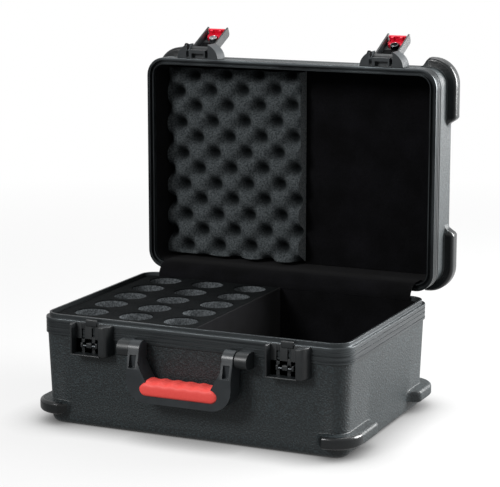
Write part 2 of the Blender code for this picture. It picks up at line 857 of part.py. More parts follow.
def housing(side, place):
    """A bell-shaped housing on the lid's band, slotted for the lever, with a window for the keeper's tab."""
    middle = place + latch_offset
    low = lid_rim + housing_end_gap
    high = low + housing_length
    bell = [(x, y) for x, y in circle((0, 0), 1, housing_sides, 180, 180)]
    outline = []
    for x_share, y_share in bell:
        reach = min(-y_share * housing_crown, housing_reach)
        outline.append((place + x_share * housing_width / 2, front - fit_gap - reach))
    body = prism(f"latch_housing_{side}", outline, "z", low, high, nylon())
    slot_half = slot_width / 2
    block_half = block_width / 2
    slot = box(f"slot_{side}", (middle - slot_half, front - housing_crown - overrun, low - overrun),
               (middle + slot_half, front - housing_back, high + overrun))
    block = box(f"block_{side}", (middle - block_half, front - block_reach, low),
                (middle + block_half, front - housing_back / 2, low + block_length))
    window = box(f"window_{side}", (place - window_width / 2, front - window_back - window_height, low - overrun),
                 (place + window_width / 2, front - window_back, low + block_length - housing_back))
    bore = rod(f"housing_bore_{side}", (pivot_y, pivot_z), latch_pin_radius + fit_gap, "x",
               middle - latch_pin_half - fit_gap, middle + latch_pin_half + fit_gap, sides=small_sides)
    cam_middle = (front - cam_reach, low + cam_rise)
    cam_right = middle - slot_half - fit_gap
    notch = rod(f"cam_notch_{side}", cam_middle, cam_radius + fit_gap, "x", cam_right - cam_width - fit_gap,
                cam_right + overrun)
    cut(body, slot)
    fuse(body, block)
    cut(body, window, bore, notch)
    cam = rod(f"latch_cam_{side}", cam_middle, cam_radius, "x", cam_right - cam_width, cam_right, black_plastic())
    return body, cam


def lever(side, middle):
    """A channel that pivots at one end, with a bored plate outside and walls that go over the keeper's ribs."""
    half = lever_width / 2
    knuckle = circle((pivot_y, pivot_z), lever_knuckle, edge_steps * 2, 0, 150)
    outline = knuckle + [(lever_face, pivot_z - lever_shoulder), (lever_face, lever_end + lever_tip_chamfer),
                         (lever_face + lever_tip_chamfer, lever_end), (lever_inner_face, lever_end)]
    arm = prism(f"latch_lever_{side}", outline, "x", middle - half, middle + half, nylon())
    channel = box(f"channel_{side}", (middle - half + lever_wall, lever_face + lever_plate, lever_end - overrun),
                  (middle + half - lever_wall, lever_inner_face + overrun, pivot_z - lever_root))
    bore = rod(f"lever_bore_{side}", (pivot_y, pivot_z), latch_pin_radius + fit_gap, "x", middle - half - overrun,
               middle + half + overrun, sides=small_sides)
    lock_bore = rod(f"lock_bore_{side}", (middle, lever_end + cylinder_place), cylinder_radius + fit_gap, "y",
                    lever_face - overrun, lever_face + lever_plate + overrun)
    return cut(arm, channel, bore, lock_bore)


def latch_pin(side, middle):
    return rod(f"latch_pin_{side}", (pivot_y, pivot_z), latch_pin_radius, "x", middle - latch_pin_half,
               middle + latch_pin_half, steel(), small_sides)


def lock_slide(side, middle):
    """The red slide: a plate in the channel with two hooks for the catch pin and a fork round the lock."""
    seat = lever_face + lever_plate + fit_gap
    inner = seat + slide_thickness
    low = lever_end + slide_start
    high = low + slide_length
    half = slide_width / 2
    plate = box(f"lock_slide_{side}", (middle - half, seat, low), (middle + half, inner, high), red_plastic())
    ridge = box(f"ridge_{side}", (middle - slide_ridge_width / 2, seat + slide_thickness / 2, low + fit_gap),
                (middle + slide_ridge_width / 2, inner + slide_ridge_height, high - fit_gap))
    head = box(f"head_{side}", (middle - half, seat, low),
               (middle + half, lever_inner_face - slide_head_drop, low + slide_head_length))
    fuse(plate, ridge, head)
    hook_low = low + hook_bottom
    shelf = hook_low + hook_shelf
    pin_y = front - keeper_pin_reach
    lip = pin_y + hook_reach - hook_lip + fit_gap
    tip = lip + hook_lip
    hook = [(inner - slide_thickness / 2, hook_low), (tip, hook_low), (tip, shelf + hook_lip_height),
            (lip, shelf + hook_lip_height), (lip, shelf), (inner - slide_thickness / 2, shelf)]
    for sign in (-1, 1):
        hook_middle = middle + sign * hook_place
        arm_middle = middle + sign * slide_arm_place
        fuse(plate, prism(f"hook_{side}_{sign}", hook, "x", hook_middle - hook_width / 2, hook_middle + hook_width / 2))
        fuse(plate, box(f"arm_{side}_{sign}", (arm_middle - slide_arm_width / 2, seat, high - slide_thickness),
                        (arm_middle + slide_arm_width / 2, inner - fit_gap, high + slide_arm_length)))
        fuse(plate, rod(f"boss_{side}_{sign}", (arm_middle, high + slide_arm_length - slide_arm_boss), slide_arm_boss,
                        "y", seat + fit_gap, inner + slide_ridge_height, sides=small_sides))
    return plate


def lock_cylinder(side, middle, look):
    """The key cylinder through the lever's plate, with a key slot in each end."""
    centre = (middle, lever_end + cylinder_place)
    start = lever_face - cylinder_proud
    end = start + cylinder_length
    barrel = rod(f"lock_cylinder_{side}", centre, cylinder_radius, "y", start, end, look)
    half_slot = key_slot_width / 2
    half_length = key_slot_length / 2
    spans = ((start - overrun, start + key_slot_depth), (end - key_slot_depth, end + overrun))
    for number, (near, far) in enumerate(spans):
        cut(barrel, box(f"key_slot_{side}_{number}", (middle - half_slot, near, centre[1] - half_length),
                        (middle + half_slot, far, centre[1] + half_length)))
    return barrel


# Handle

handle_axis_height = rim - handle_axis_drop
handle_bottom = handle_axis_height - handle_fall
handle_bar_top = handle_bottom + handle_bar_height
handle_inner_start = handle_axis_height - handle_inner_drop
handle_shoulder = handle_axis_height - handle_shoulder_drop
handle_slot_bottom = handle_axis_height - handle_slot_drop
grip_bottom = handle_bottom + grip_rise
grip_top = grip_bottom + grip_height
handle_y = front - handle_axis_reach
handle_front_face = front - handle_front
handle_back_face = front - handle_back
arm_inner = handle_outer - handle_arm


def handle_outline():
    """Front view of the handle: two arms and a bar, round at its lower corners."""
    top = handle_axis_height + handle_knuckle
    corner_x = handle_outer - handle_corner
    corner_z = handle_bottom + handle_corner
    outline = [(handle_outer, top), (arm_inner, top), (arm_inner, handle_inner_start),
               (handle_inner_half, handle_bar_top), (-handle_inner_half, handle_bar_top),
               (-arm_inner, handle_inner_start), (-arm_inner, top), (-handle_outer, top)]
    outline += circle((-corner_x, corner_z), handle_corner, handle_corner_steps, 180, 90)
    outline += circle((corner_x, corner_z), handle_corner, handle_corner_steps, 270, 90)
    return outline


def handle_side(name, left, right, look=None):
    """Side view of an arm, round at the pivot and deeper below it."""
    outline = circle((handle_y, handle_axis_height), handle_knuckle, corner_steps * 2, 0, 180)
    outline += [(handle_front_face, handle_shoulder), (handle_front_face, handle_bottom - overrun),
                (handle_back_face, handle_bottom - overrun), (handle_back_face, handle_shoulder)]
    return prism(name, outline, "x", left, right, look)


def handle_frame():
    """Handle seen from the front, trimmed to the arms' side view and bored for its pins."""
    frame = prism("handle_frame", handle_outline(), "y", handle_front_face - overrun, handle_back_face + overrun,
                  nylon())
    boolean(frame, "INTERSECT", [handle_side("handle_side_tool", -handle_outer - overrun, handle_outer + overrun)])
    for sign in (-1, 1):
        ends = sorted((sign * (arm_inner + handle_slot_inset), sign * (handle_outer + overrun)))
        cut(frame, rod(f"handle_bore_{sign}", (handle_y, handle_axis_height), handle_pin_radius + fit_gap, "x", *ends))
        left = sign * (handle_outer - handle_slot_inset) - (handle_slot_width if sign > 0 else 0)
        cut(frame, box(f"handle_slot_{sign}", (left, handle_front_face - overrun, handle_slot_bottom),
                       (left + handle_slot_width, handle_front_face + handle_slot_depth,
                        handle_slot_bottom + handle_slot_height)))
    return frame


def handle_grip():
    """The red sleeve over the bar, waved on top for the fingers and open beneath."""
    radius = (grip_top - grip_bottom) / 2
    middle = grip_bottom + radius
    flat = grip_half - radius
    outline = circle((-flat, middle), radius, grip_end_steps, 90, 180)
    outline += circle((flat, middle), radius, grip_end_steps, 270, 180)
    count = grip_waves * grip_wave_steps
    for index in range(1, count):
        share = index / count
        wave = math.sin(math.pi * grip_waves * share) ** 2
        outline.append((flat - 2 * flat * share, grip_top + grip_wave * wave))
    sleeve = prism("handle_grip", outline, "y", handle_front_face - grip_wall, handle_back_face + grip_wall,
                   red_plastic())
    inner = [(-handle_outer, grip_bottom - overrun), (handle_outer, grip_bottom - overrun),
             (handle_outer, grip_top + handle_corner), (arm_inner, handle_inner_start + fit_gap),
             (handle_inner_half, handle_bar_top + fit_gap), (-handle_inner_half, handle_bar_top + fit_gap),
             (-arm_inner, handle_inner_start + fit_gap), (-handle_outer, grip_top + handle_corner)]
    return cut(sleeve, prism("bar_tool", inner, "y", handle_front_face - fit_gap, handle_back_face + fit_gap))


def handle_bracket(side, sign):
    """A round-nosed bracket on the base front that carries one end of the handle."""
    start = handle_outer + bracket_gap
    ends = sorted((sign * start, sign * (start + bracket_width)))
    low = handle_axis_height - bracket_radius
    high = handle_axis_height + bracket_radius
    nose = rod(f"handle_bracket_{side}", (handle_y, handle_axis_height), bracket_radius, "x", *ends, nylon())
    foot = prism(f"bracket_foot_{side}", stepped_back(low, high, handle_axis_reach, keeper_chamfer / 2), "x", *ends)
    fuse(nose, foot)
    trim = box(f"bracket_trim_{side}", (ends[0] - overrun, front - fit_gap, rim - band_height - fit_gap),
               (ends[1] + overrun, back, high + overrun))
    lower = box(f"bracket_trim_low_{side}", (ends[0] - overrun, front + body_step - fit_gap, low - overrun),
                (ends[1] + overrun, back, rim - band_height))
    pin_start = arm_inner + handle_slot_inset + fit_gap
    pin_end = start + bracket_pin_end
    bore_ends = sorted((sign * (start - overrun), sign * (pin_end + fit_gap)))
    cut(nose, trim, lower, rod(f"bracket_bore_{side}", (handle_y, handle_axis_height), handle_pin_radius + fit_gap,
                               "x", *bore_ends))
    pin_ends = sorted((sign * pin_start, sign * pin_end))
    pin = rod(f"handle_pin_{side}", (handle_y, handle_axis_height), handle_pin_radius, "x", *pin_ends, steel())
    return nose, pin


def build():
    """Put the case together: base, lid on its hinge axis, latches on their pivots, handle on its brackets."""
    for piece in list(bpy.data.objects):
        bpy.data.objects.remove(piece, do_unlink=True)
    lid = pivot("lid_pivot", hinge_axis, turn_x=-open_angle)
    shell = base_shell()
    band = base_valance()
    base_lining()
    foam_insert()
    base_fillings()
    hinge_cover()
    lid_band = lid_valance()
    lid_pieces = [lid_shell(), lid_band, lid_lining(), lid_foam(), lid_pad()]
    for side, place in zip(("left", "right"), hinge_places):
        base_leaf, lid_leaf, unused = hinge(side, place, lid)
        level = leaf_start + leaf_length / 2
        rivets(side, place, base_leaf, band, hinge_axis.z - level)
        rivets(side, place, lid_leaf, lid_band, hinge_axis.z + level, lid)
        hang(lid, lid_leaf)
    hang(lid, *lid_pieces)
    cylinder_looks = {"left": steel(), "right": black_plastic()}
    for side, sign in (("left", -1), ("right", 1)):
        place = sign * latch_place
        middle = place + latch_offset
        keeper(side, place)
        hang(lid, *housing(side, place), latch_pin(side, middle))
        swing = pivot(f"latch_pivot_{side}", (middle, pivot_y, pivot_z), lid, -latch_open_angle)
        hang(swing, lever(side, middle), lock_slide(side, middle), lock_cylinder(side, middle, cylinder_looks[side]))
        handle_bracket(side, sign)
    swing = pivot("handle_pivot", (0, handle_y, handle_axis_height))
    hang(swing, handle_frame(), handle_grip())
    smooth(shell, lid_pieces[0])


build()
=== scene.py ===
"""Looks of a moulded microphone case, open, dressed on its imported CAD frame. Metres, +Z up."""
import json
import math

import bmesh
import bpy
import numpy as np
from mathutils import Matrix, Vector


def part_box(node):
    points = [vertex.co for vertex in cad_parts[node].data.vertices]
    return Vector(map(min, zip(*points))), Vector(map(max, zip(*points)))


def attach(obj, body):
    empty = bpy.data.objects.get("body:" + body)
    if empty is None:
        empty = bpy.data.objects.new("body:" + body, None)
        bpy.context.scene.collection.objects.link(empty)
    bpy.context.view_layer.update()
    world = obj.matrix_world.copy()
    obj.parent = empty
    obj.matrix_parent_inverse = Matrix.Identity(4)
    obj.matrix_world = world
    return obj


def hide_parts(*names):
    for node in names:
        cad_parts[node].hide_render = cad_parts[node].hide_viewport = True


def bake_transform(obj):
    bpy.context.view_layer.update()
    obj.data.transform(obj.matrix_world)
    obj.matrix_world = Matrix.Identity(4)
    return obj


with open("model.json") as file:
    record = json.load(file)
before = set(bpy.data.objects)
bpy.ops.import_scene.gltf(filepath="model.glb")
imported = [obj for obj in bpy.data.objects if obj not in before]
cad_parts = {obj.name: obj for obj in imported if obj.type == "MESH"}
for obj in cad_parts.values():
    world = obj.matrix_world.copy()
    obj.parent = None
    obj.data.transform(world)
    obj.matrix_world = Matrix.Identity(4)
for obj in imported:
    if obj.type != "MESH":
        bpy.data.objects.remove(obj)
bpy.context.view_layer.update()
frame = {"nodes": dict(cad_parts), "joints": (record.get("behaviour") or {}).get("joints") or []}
nodes = frame["nodes"]


# Base shell: a deep tray of black high-density polyethylene, moulded in one with its corner bumpers.
# The mould gives it a pebbled skin and a small radius at every edge. Its open rim carries the base valance.

case_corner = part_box("base_valance")[1]
half_width = case_corner.x
half_depth = case_corner.y
corner_radius = 0.028
tab_above_rim = 0.0045
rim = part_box("keeper_left")[1].z - tab_above_rim
shell_step = 0.0025
shell_wall = 0.003
shell_edge = 0.009
shell_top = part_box("base_shell")[1].z
base_draft = 0.0045
base_draft_share = 0.13
band_height = 0.023
bumper_reach = 0.011
bumper_front_leg = 0.0455
bumper_taper = 0.012
bumper_nose = 0.0048
bumper_fillet = 0.0014
base_bumper = (0.0165, 0.034)
base_side_leg = 0.100
base_rear_leg = 0.078
nose_start = 0.0015
nose_back = 0.030
sharp_angle = 40
pebble_size = 0.0022
shell_colour = "#12181a"
# The speck colour is partly the grain's own tone and partly a painted glint: highlight painted into the
# skin's colour.
shell_speck_and_glint = "#2d373a"
# Darker than the shell: partly the smooth worn finish, partly painted shade on the bumpers.
nose_worn_and_shaded_colour = "#0a0b0c"


def linear(code):
    """The linear colour, with alpha, of an sRGB hex code."""
    channels = [int(code[place:place + 2], 16) / 255 for place in (1, 3, 5)]
    return [c / 12.92 if c <= 0.04045 else ((c + 0.055) / 1.055) ** 2.4 for c in channels] + [1]


def feed(tree, node, inputs):
    """Give a node's sockets, by name or number, their values, or link them to other nodes' sockets."""
    for socket, value in inputs.items():
        if isinstance(value, bpy.types.NodeSocket):
            tree.links.new(value, node.inputs[socket])
        else:
            node.inputs[socket].default_value = value


def add(tree, kind, inputs=None, **settings):
    """Add a node with its settings, and feed its inputs."""
    node = tree.nodes.new(kind)
    for name, value in settings.items():
        setattr(node, name, value)
    feed(tree, node, inputs or {})
    return node


def new_material(name, sockets):
    """A Principled material with its uniform values on the shader's sockets, and its Object coordinates."""
    material = bpy.data.materials.new(name)
    material.use_nodes = True
    tree = material.node_tree
    shader = tree.nodes["Principled BSDF"]
    feed(tree, shader, sockets)
    return material, tree, shader, add(tree, "ShaderNodeTexCoord").outputs["Object"]


def arc(middle, radius, start, end, steps):
    """Points on an arc: middle plus radius times cosine and sine of angles evenly spaced in degrees."""
    angles = np.radians(np.linspace(start, end, steps + 1))
    return np.stack([middle[0] + radius * np.cos(angles), middle[1] + radius * np.sin(angles)], axis=1)


def plan(corner_steps=12, straight_steps=90):
    """The case's plan as places and outward normals: four quarter circles joined by straight runs."""
    places = []
    normals = []
    reach = np.array([half_width - corner_radius, half_depth - corner_radius])
    signs = np.array([(1, 1), (-1, 1), (-1, -1), (1, -1)])
    for turn, sign in enumerate(signs):
        angles = np.radians(90 * turn + np.linspace(0, 90, corner_steps + 1))
        outward = np.stack([np.cos(angles), np.sin(angles)], axis=1)
        places.append(sign * reach + outward * corner_radius)
        normals.append(outward)
        share = np.linspace(0, 1, straight_steps + 1)[1:-1, None]
        following = signs[(turn + 1) % 4] * reach + outward[-1] * corner_radius
        places.append(places[-1][-1] * (1 - share) + following * share)
        normals.append(np.repeat(outward[-1:], straight_steps - 1, axis=0))
    return np.vstack(places), np.vstack(normals)


ring_places, ring_normals = plan()


def swept(insets, heights):
    """A profile carried round the plan: place minus inset times normal, at each height."""
    insets = np.broadcast_to(insets, (len(insets), len(ring_places)))
    heights = np.broadcast_to(heights, (len(heights), len(ring_places)))
    flat = ring_places[None] - insets[..., None] * ring_normals[None]
    return np.concatenate([flat, heights[..., None]], axis=2)


def grid(points, around=True, ends=False, capped=False):
    """Vertices and faces of a grid. Around closes each row, ends joins last to first, capped fills both."""
    rows, width = points.shape[:2]
    index = np.arange(rows * width).reshape(rows, width)
    left = index if around else index[:, :-1]
    right = np.roll(index, -1, axis=1) if around else index[:, 1:]
    lower, lower_right = (left, right) if ends else (left[:-1], right[:-1])
    upper, upper_right = (np.roll(side, -1, axis=0) if ends else side[1:] for side in (left, right))
    faces = np.stack([lower, lower_right, upper_right, upper], axis=-1).reshape(-1, 4).tolist()
    if capped:
        faces += [index[0, ::-1].tolist(), index[-1].tolist()]
    return points.reshape(-1, 3), faces


def piece(name, parts, material, body, stands_for=(), angle=sharp_angle):
    """One object from several grids: merged, facing outwards, smooth but for edges sharper than the angle."""
    mesh = bpy.data.meshes.new(name)
    vertices = []
    faces = []
    start = 0
    for points, quads in parts:
        vertices.append(points)
        faces += [[corner + start for corner in face] for face in quads]
        start += len(points)
    mesh.from_pydata(np.vstack(vertices).tolist(), [], faces)
    shape = bmesh.new()
    shape.from_mesh(mesh)
    bmesh.ops.remove_doubles(shape, verts=shape.verts, dist=1e-6)
    bmesh.ops.recalc_face_normals(shape, faces=shape.faces)
    shape.to_mesh(mesh)
    shape.free()
    mesh.shade_smooth()
    mesh.set_sharp_from_angle(angle=math.radians(angle))
    mesh.materials.append(material)
    made = bpy.data.objects.new(name, mesh)
    bpy.context.scene.collection.objects.link(made)
    if body:
        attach(made, body)
    if stands_for:
        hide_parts(*stands_for)
    return made


def painted(made, material, chosen):
    """A piece with a second material on the faces whose middles pass a test of x, y and z."""
    made.data.materials.append(material)
    middles = np.empty(len(made.data.polygons) * 3)
    made.data.polygons.foreach_get("center", middles)
    made.data.polygons.foreach_set("material_index", chosen(*middles.reshape(-1, 3).T).astype(np.int32))
    return made


def ramp(distance, length):
    """From 0 to 1 over a length, with softened ends: 3t squared minus 2t cubed, averaged with t."""
    share = np.clip(distance / length, 0, 1)
    return (share + share * share * (3 - 2 * share)) / 2


def bumper_window(side_leg, rear_leg):
    """Where a shell's bumpers stand, round the plan: 1 at the corners, falling to 0 at their legs' ends."""
    x, y = ring_places.T
    front_rear = ramp(np.abs(x) - (half_width - bumper_front_leg), bumper_taper)
    sides = np.maximum(ramp(side_leg - (y + half_depth), bumper_taper),
                       ramp(rear_leg - (half_depth - y), bumper_taper))
    return front_rear * sides


def bumper_section(wall, low, high):
    """A bumper's section and the bare wall it grows from: root fillet, face, round nose, face, fillet."""
    out = -bumper_reach + bumper_nose
    section = np.vstack([
        arc((wall - bumper_fillet, low - bumper_fillet), bumper_fillet, 0, 90, 3),
        arc((out, low + bumper_nose), bumper_nose, 270, 180, 7),
        arc((out, high - bumper_nose), bumper_nose, 180, 90, 7),
        arc((wall - bumper_fillet, high + bumper_fillet), bumper_fillet, 270, 360, 3)])
    rise = np.linspace(section[0, 1], section[-1, 1], len(section))
    return section, np.stack([np.full(len(section), wall), rise], axis=1)


def with_bumpers(below, section, bare, above, window):
    """Insets and heights of a wall's rows, the bumper's rows blended in by the window."""
    rows = section[:, :, None] * window + bare[:, :, None] * (1 - window)
    below, above = (np.repeat(part[:, :, None], len(window), axis=2) for part in (below, above))
    both = np.vstack([below, rows, above])
    return both[:, 0], both[:, 1]


def past_wall(across, along):
    """True more than nose_start beyond the plan, by the distance from its rounded corner's middle."""
    over = np.hypot(np.maximum(np.abs(across) - (half_width - corner_radius), 0),
                    np.maximum(np.abs(along) - (half_depth - corner_radius), 0))
    return over > corner_radius + nose_start


def on_front_nose(x, y, z):
    """True on the base's front bumpers, over their reach beyond the wall and round the corner."""
    low, high = base_bumper
    return past_wall(x, y) & (y < nose_back - half_depth) & (z < high) & (z > low)


def polyethylene():
    """High-density polyethylene, moulded in colour in a textured mould: a satin skin of fine pebbles with
    pale specks, in patches about 55 mm across. The specks are partly the skin's own lighter grain and partly
    painted glints: highlights painted into the colour. The real pebbles are about 1 mm, and are drawn coarser
    so that they show."""
    material, tree, shader, place = new_material("pebbled polyethylene", {"Roughness": 0.5, "IOR": 1.5})
    grains = add(tree, "ShaderNodeTexVoronoi", {"Vector": place, "Scale": 1 / pebble_size},
                 feature="SMOOTH_F1")
    cloud = add(tree, "ShaderNodeTexNoise", {"Vector": place, "Scale": 1 / pebble_size, "Detail": 2,
                                            "Roughness": 0.5})
    patches = add(tree, "ShaderNodeTexNoise", {"Vector": place, "Scale": 18, "Detail": 2})
    # Lighter specks: partly grain, partly painted glints, highlights painted into the colour.
    speck = add(tree, "ShaderNodeMapRange", {"Value": cloud.outputs["Fac"], "From Min": 0.46,
                                            "From Max": 0.66})
    colour = add(tree, "ShaderNodeMix", {0: speck.outputs["Result"], 6: linear(shell_colour),
                                         7: linear(shell_speck_and_glint)}, data_type="RGBA")
    shade = add(tree, "ShaderNodeMapRange", {"Value": patches.outputs["Fac"], "To Min": 0.9, "To Max": 1.1})
    tinted = add(tree, "ShaderNodeVectorMath", {0: colour.outputs[2], 3: shade.outputs["Result"]},
                 operation="SCALE")
    gloss = add(tree, "ShaderNodeMapRange", {"Value": cloud.outputs["Fac"], "To Min": 0.62, "To Max": 0.4})
    relief = add(tree, "ShaderNodeMath", {0: grains.outputs["Distance"], 1: cloud.outputs["Fac"]},
                 operation="ADD")
    bump = add(tree, "ShaderNodeBump", {"Height": relief.outputs[0], "Strength": 0.8, "Distance": 0.0005})
    feed(tree, shader, {"Base Color": tinted.outputs[0], "Roughness": gloss.outputs["Result"],
                        "Normal": bump.outputs["Normal"]})
    return material


def smooth_polyethylene():
    """The same polyethylene where a bumper's nose left the mould smooth and wear has polished it: crisp
    highlights, no grain, and wear marks about 5 mm across. Its colour is darker than the shell's, partly for
    the smooth finish and partly as painted shade that holds down the lamps' light on the bumpers."""
    material, tree, shader, place = new_material("smooth polyethylene, worn", {"Roughness": 0.26, "IOR": 1.5})
    wear = add(tree, "ShaderNodeTexNoise", {"Vector": place, "Scale": 220, "Detail": 2})
    colour = add(tree, "ShaderNodeMix", {0: wear.outputs["Fac"], 6: linear(nose_worn_and_shaded_colour),
                                         7: linear(shell_colour)}, data_type="RGBA")
    bump = add(tree, "ShaderNodeBump", {"Height": wear.outputs["Fac"], "Strength": 0.5, "Distance": 0.0004})
    feed(tree, shader, {"Base Color": colour.outputs[2], "Normal": bump.outputs["Normal"]})
    return material


def base_shell():
    """Underside, rounded edge, drafted wall with bumpers, and the thinner inner wall, as one closed skin."""
    foot = shell_step + base_draft
    shoulder = rim - band_height - shell_step
    edge = arc((foot + shell_edge, shell_edge), shell_edge, 270, 180, 8)
    section, bare = bumper_section(foot - base_draft * base_draft_share, *base_bumper)
    above = np.array([(shell_step, shoulder), (shell_step, shell_top), (shell_step + shell_wall, shell_top),
                      (shell_step + shell_wall, shoulder), (foot + shell_wall, shell_edge)])
    floor = arc((foot + shell_edge, shell_edge), shell_edge - shell_wall, 180, 270, 4)
    insets, heights = with_bumpers(edge, section, bare, np.vstack([above, floor]),
                                   bumper_window(base_side_leg, base_rear_leg))
    return piece("base_shell_moulding", [grid(swept(insets, heights), capped=True)], shell_look, "base",
                 ["base_shell"])


shell_look = polyethylene()
smooth_look = smooth_polyethylene()
painted(base_shell(), smooth_look, on_front_nose)


# Base valance: a black anodised aluminium extrusion bent round the rim and pressed over the shell's wall. Its
# face has beads, grooves and fine lines along it, and its tongue enters the lid's groove.

tongue_inset = 0.0049
tongue_thickness = 0.0034
tongue_height = 0.0056
tongue_round = 0.0005
web = 0.0025
leg_height = 0.010
fit_gap = 0.0003
band_groove = 0.0010
valance_colour = "#2b2e30"
valance_streak = "#5c6163"


def band_face(low, up):
    """A band's face from its free edge to the rim, as heights and insets: a rounded edge, three flat-bottomed
    grooves between beads, and a rounded rim edge."""
    marks = [(0, 0.0006), (0.0004, 0),
             (0.0034, 0), (0.0037, band_groove), (0.0049, band_groove), (0.0052, 0.0001),
             (0.0104, 0.0001), (0.0107, band_groove), (0.0119, band_groove), (0.0122, 0.0001),
             (0.0164, 0.0001), (0.0167, band_groove), (0.0179, band_groove), (0.0182, 0),
             (0.0221, 0), (0.0228, 0.0003), (0.0230, 0.0009)]
    return np.array([(inset, low + up * height) for height, inset in marks])


def anodised(name, dark, light, across=2):
    """Black anodised aluminium, brushed along the extrusion: fine lines that catch the light. They lie 0.7
    and 0.24 mm apart along the given axis, and fade along the other two over 170 and 70 mm."""
    material, tree, shader, place = new_material(name, {"Metallic": 0.8, "Roughness": 0.3})
    lines = []
    for long, short in ((6, 1500), (14, 4200)):
        scale = [long, long, long]
        scale[across] = short
        stretched = add(tree, "ShaderNodeMapping", {"Vector": place, "Scale": scale})
        lines.append(add(tree, "ShaderNodeTexNoise", {"Vector": stretched.outputs[0], "Scale": 1,
                                                      "Detail": 2}))
    mixed = add(tree, "ShaderNodeMath", {0: lines[0].outputs["Fac"], 1: lines[1].outputs["Fac"]},
                operation="MULTIPLY")
    streak = add(tree, "ShaderNodeMapRange", {"Value": mixed.outputs[0], "From Min": 0.14, "From Max": 0.42})
    colour = add(tree, "ShaderNodeMix", {0: streak.outputs["Result"], 6: linear(dark), 7: linear(light)},
                 data_type="RGBA")
    gloss = add(tree, "ShaderNodeMapRange", {"Value": mixed.outputs[0], "From Min": 0.14, "From Max": 0.42,
                                            "To Min": 0.42, "To Max": 0.26})
    bump = add(tree, "ShaderNodeBump", {"Height": mixed.outputs[0], "Strength": 0.25, "Distance": 0.0001})
    feed(tree, shader, {"Base Color": colour.outputs[2], "Roughness": gloss.outputs["Result"],
                        "Normal": bump.outputs["Normal"]})
    return material


def base_valance():
    """Face, rim, rounded tongue and inner leg as one closed extrusion."""
    inner = tongue_inset + tongue_thickness
    seat = rim - web
    channel = shell_step + shell_wall + fit_gap
    top = rim + tongue_height - tongue_round
    profile = np.vstack([
        band_face(rim - band_height, 1),
        [(tongue_inset - tongue_round, rim), (tongue_inset, rim + tongue_round)],
        arc((tongue_inset + tongue_round, top), tongue_round, 180, 90, 4),
        arc((inner - tongue_round, top), tongue_round, 90, 0, 4),
        [(inner, seat - leg_height), (channel, seat - leg_height), (channel, seat),
         (shell_step - fit_gap, seat), (shell_step - fit_gap, rim - band_height)]])
    return piece("base_valance_extrusion", [grid(swept(profile[:, :1], profile[:, 1:]), ends=True)],
                 anodised_look, "base", ["base_valance"], angle=25)


anodised_look = anodised("brushed black anodised aluminium", valance_colour, valance_streak)
base_valance()


# Base lining: black plush glued to the shell's walls and floor, up to just under the rim. Its short pile is
# matt and drinks the light.

lining = 0.002
lining_round = 0.0006
lining_drop = 0.001
lining_gap = 0.0004
lining_top = rim - lining_drop
lining_inset = tongue_inset + tongue_thickness + lining_gap
lining_foot = shell_step + base_draft + shell_wall + fit_gap
base_floor = shell_wall + fit_gap
plush_colour = "#060607"
plush_light = "#131316"


def plush():
    """Short-pile nylon velvet: nearly black, with a little sheen at grazing angles. Its pile shows as a grain
    of 1.4 mm, drawn coarser than the real 0.2 mm, and its nap lies in patches about 45 mm across."""
    material, tree, shader, place = new_material("black nylon plush", {
        "Roughness": 0.95, "Sheen Weight": 0.03, "Sheen Roughness": 0.5, "Specular IOR Level": 0.08})
    pile = add(tree, "ShaderNodeTexNoise", {"Vector": place, "Scale": 700, "Detail": 3, "Roughness": 0.7})
    nap = add(tree, "ShaderNodeTexNoise", {"Vector": place, "Scale": 22, "Detail": 3})
    both = add(tree, "ShaderNodeMath", {0: pile.outputs["Fac"], 1: nap.outputs["Fac"]}, operation="MULTIPLY")
    shade = add(tree, "ShaderNodeMapRange", {"Value": both.outputs[0], "From Min": 0.15, "From Max": 0.42})
    colour = add(tree, "ShaderNodeMix", {0: shade.outputs["Result"], 6: linear(plush_colour),
                                         7: linear(plush_light)}, data_type="RGBA")
    bump = add(tree, "ShaderNodeBump", {"Height": pile.outputs["Fac"], "Strength": 0.6, "Distance": 0.0004})
    feed(tree, shader, {"Base Color": colour.outputs[2], "Normal": bump.outputs["Normal"]})
    return material


def lining_lip(inset, edge, up):
    """A lining's rounded free edge, as insets and heights over its thickness. Up is 1, or -1 where the edge
    is the lining's lower one."""
    return [(inset, edge - up * lining_round), (inset + lining_round, edge),
            (inset + lining - lining_round, edge), (inset + lining, edge - up * lining_round)]


def base_lining():
    """A tray: outer skin up the shell's wall, a rounded top edge, and the pile's face down to the floor."""
    radius = shell_edge - shell_wall
    middle = (lining_foot + radius, base_floor + radius)
    profile = np.vstack([arc(middle, radius, 270, 180, 5), lining_lip(lining_inset, lining_top, 1),
                         arc(middle, radius - lining, 180, 270, 5)])
    return piece("base_plush_tray", [grid(swept(profile[:, :1], profile[:, 1:]), capped=True)], plush_look,
                 "base", ["base_lining"])


plush_look = plush()
base_lining()


# Foam block: grey-black polyurethane foam, cut to the tray, with fifteen round holes for the microphones.
# Its top is painted darker than its walls: painted shade on the faces that look up. It stands on a foam
# floor pad that the holes show at their foot.

block_low, block_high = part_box("foam_insert")
block_inset = half_width + block_low.x
hole_radius = 0.024
hole_middle = (-0.1103, 0.0095)
hole_pitch = (0.0711, 0.0583)
hole_columns = 3
hole_rows = 5
foam_round = 0.0016
pad_round = 0.004
foam_cell = 0.0026
foam_colour = "#3a3e40"
foam_light = "#696d70"
block_top_shade_colour = "#090b0c"
block_top_shade_light = "#151718"


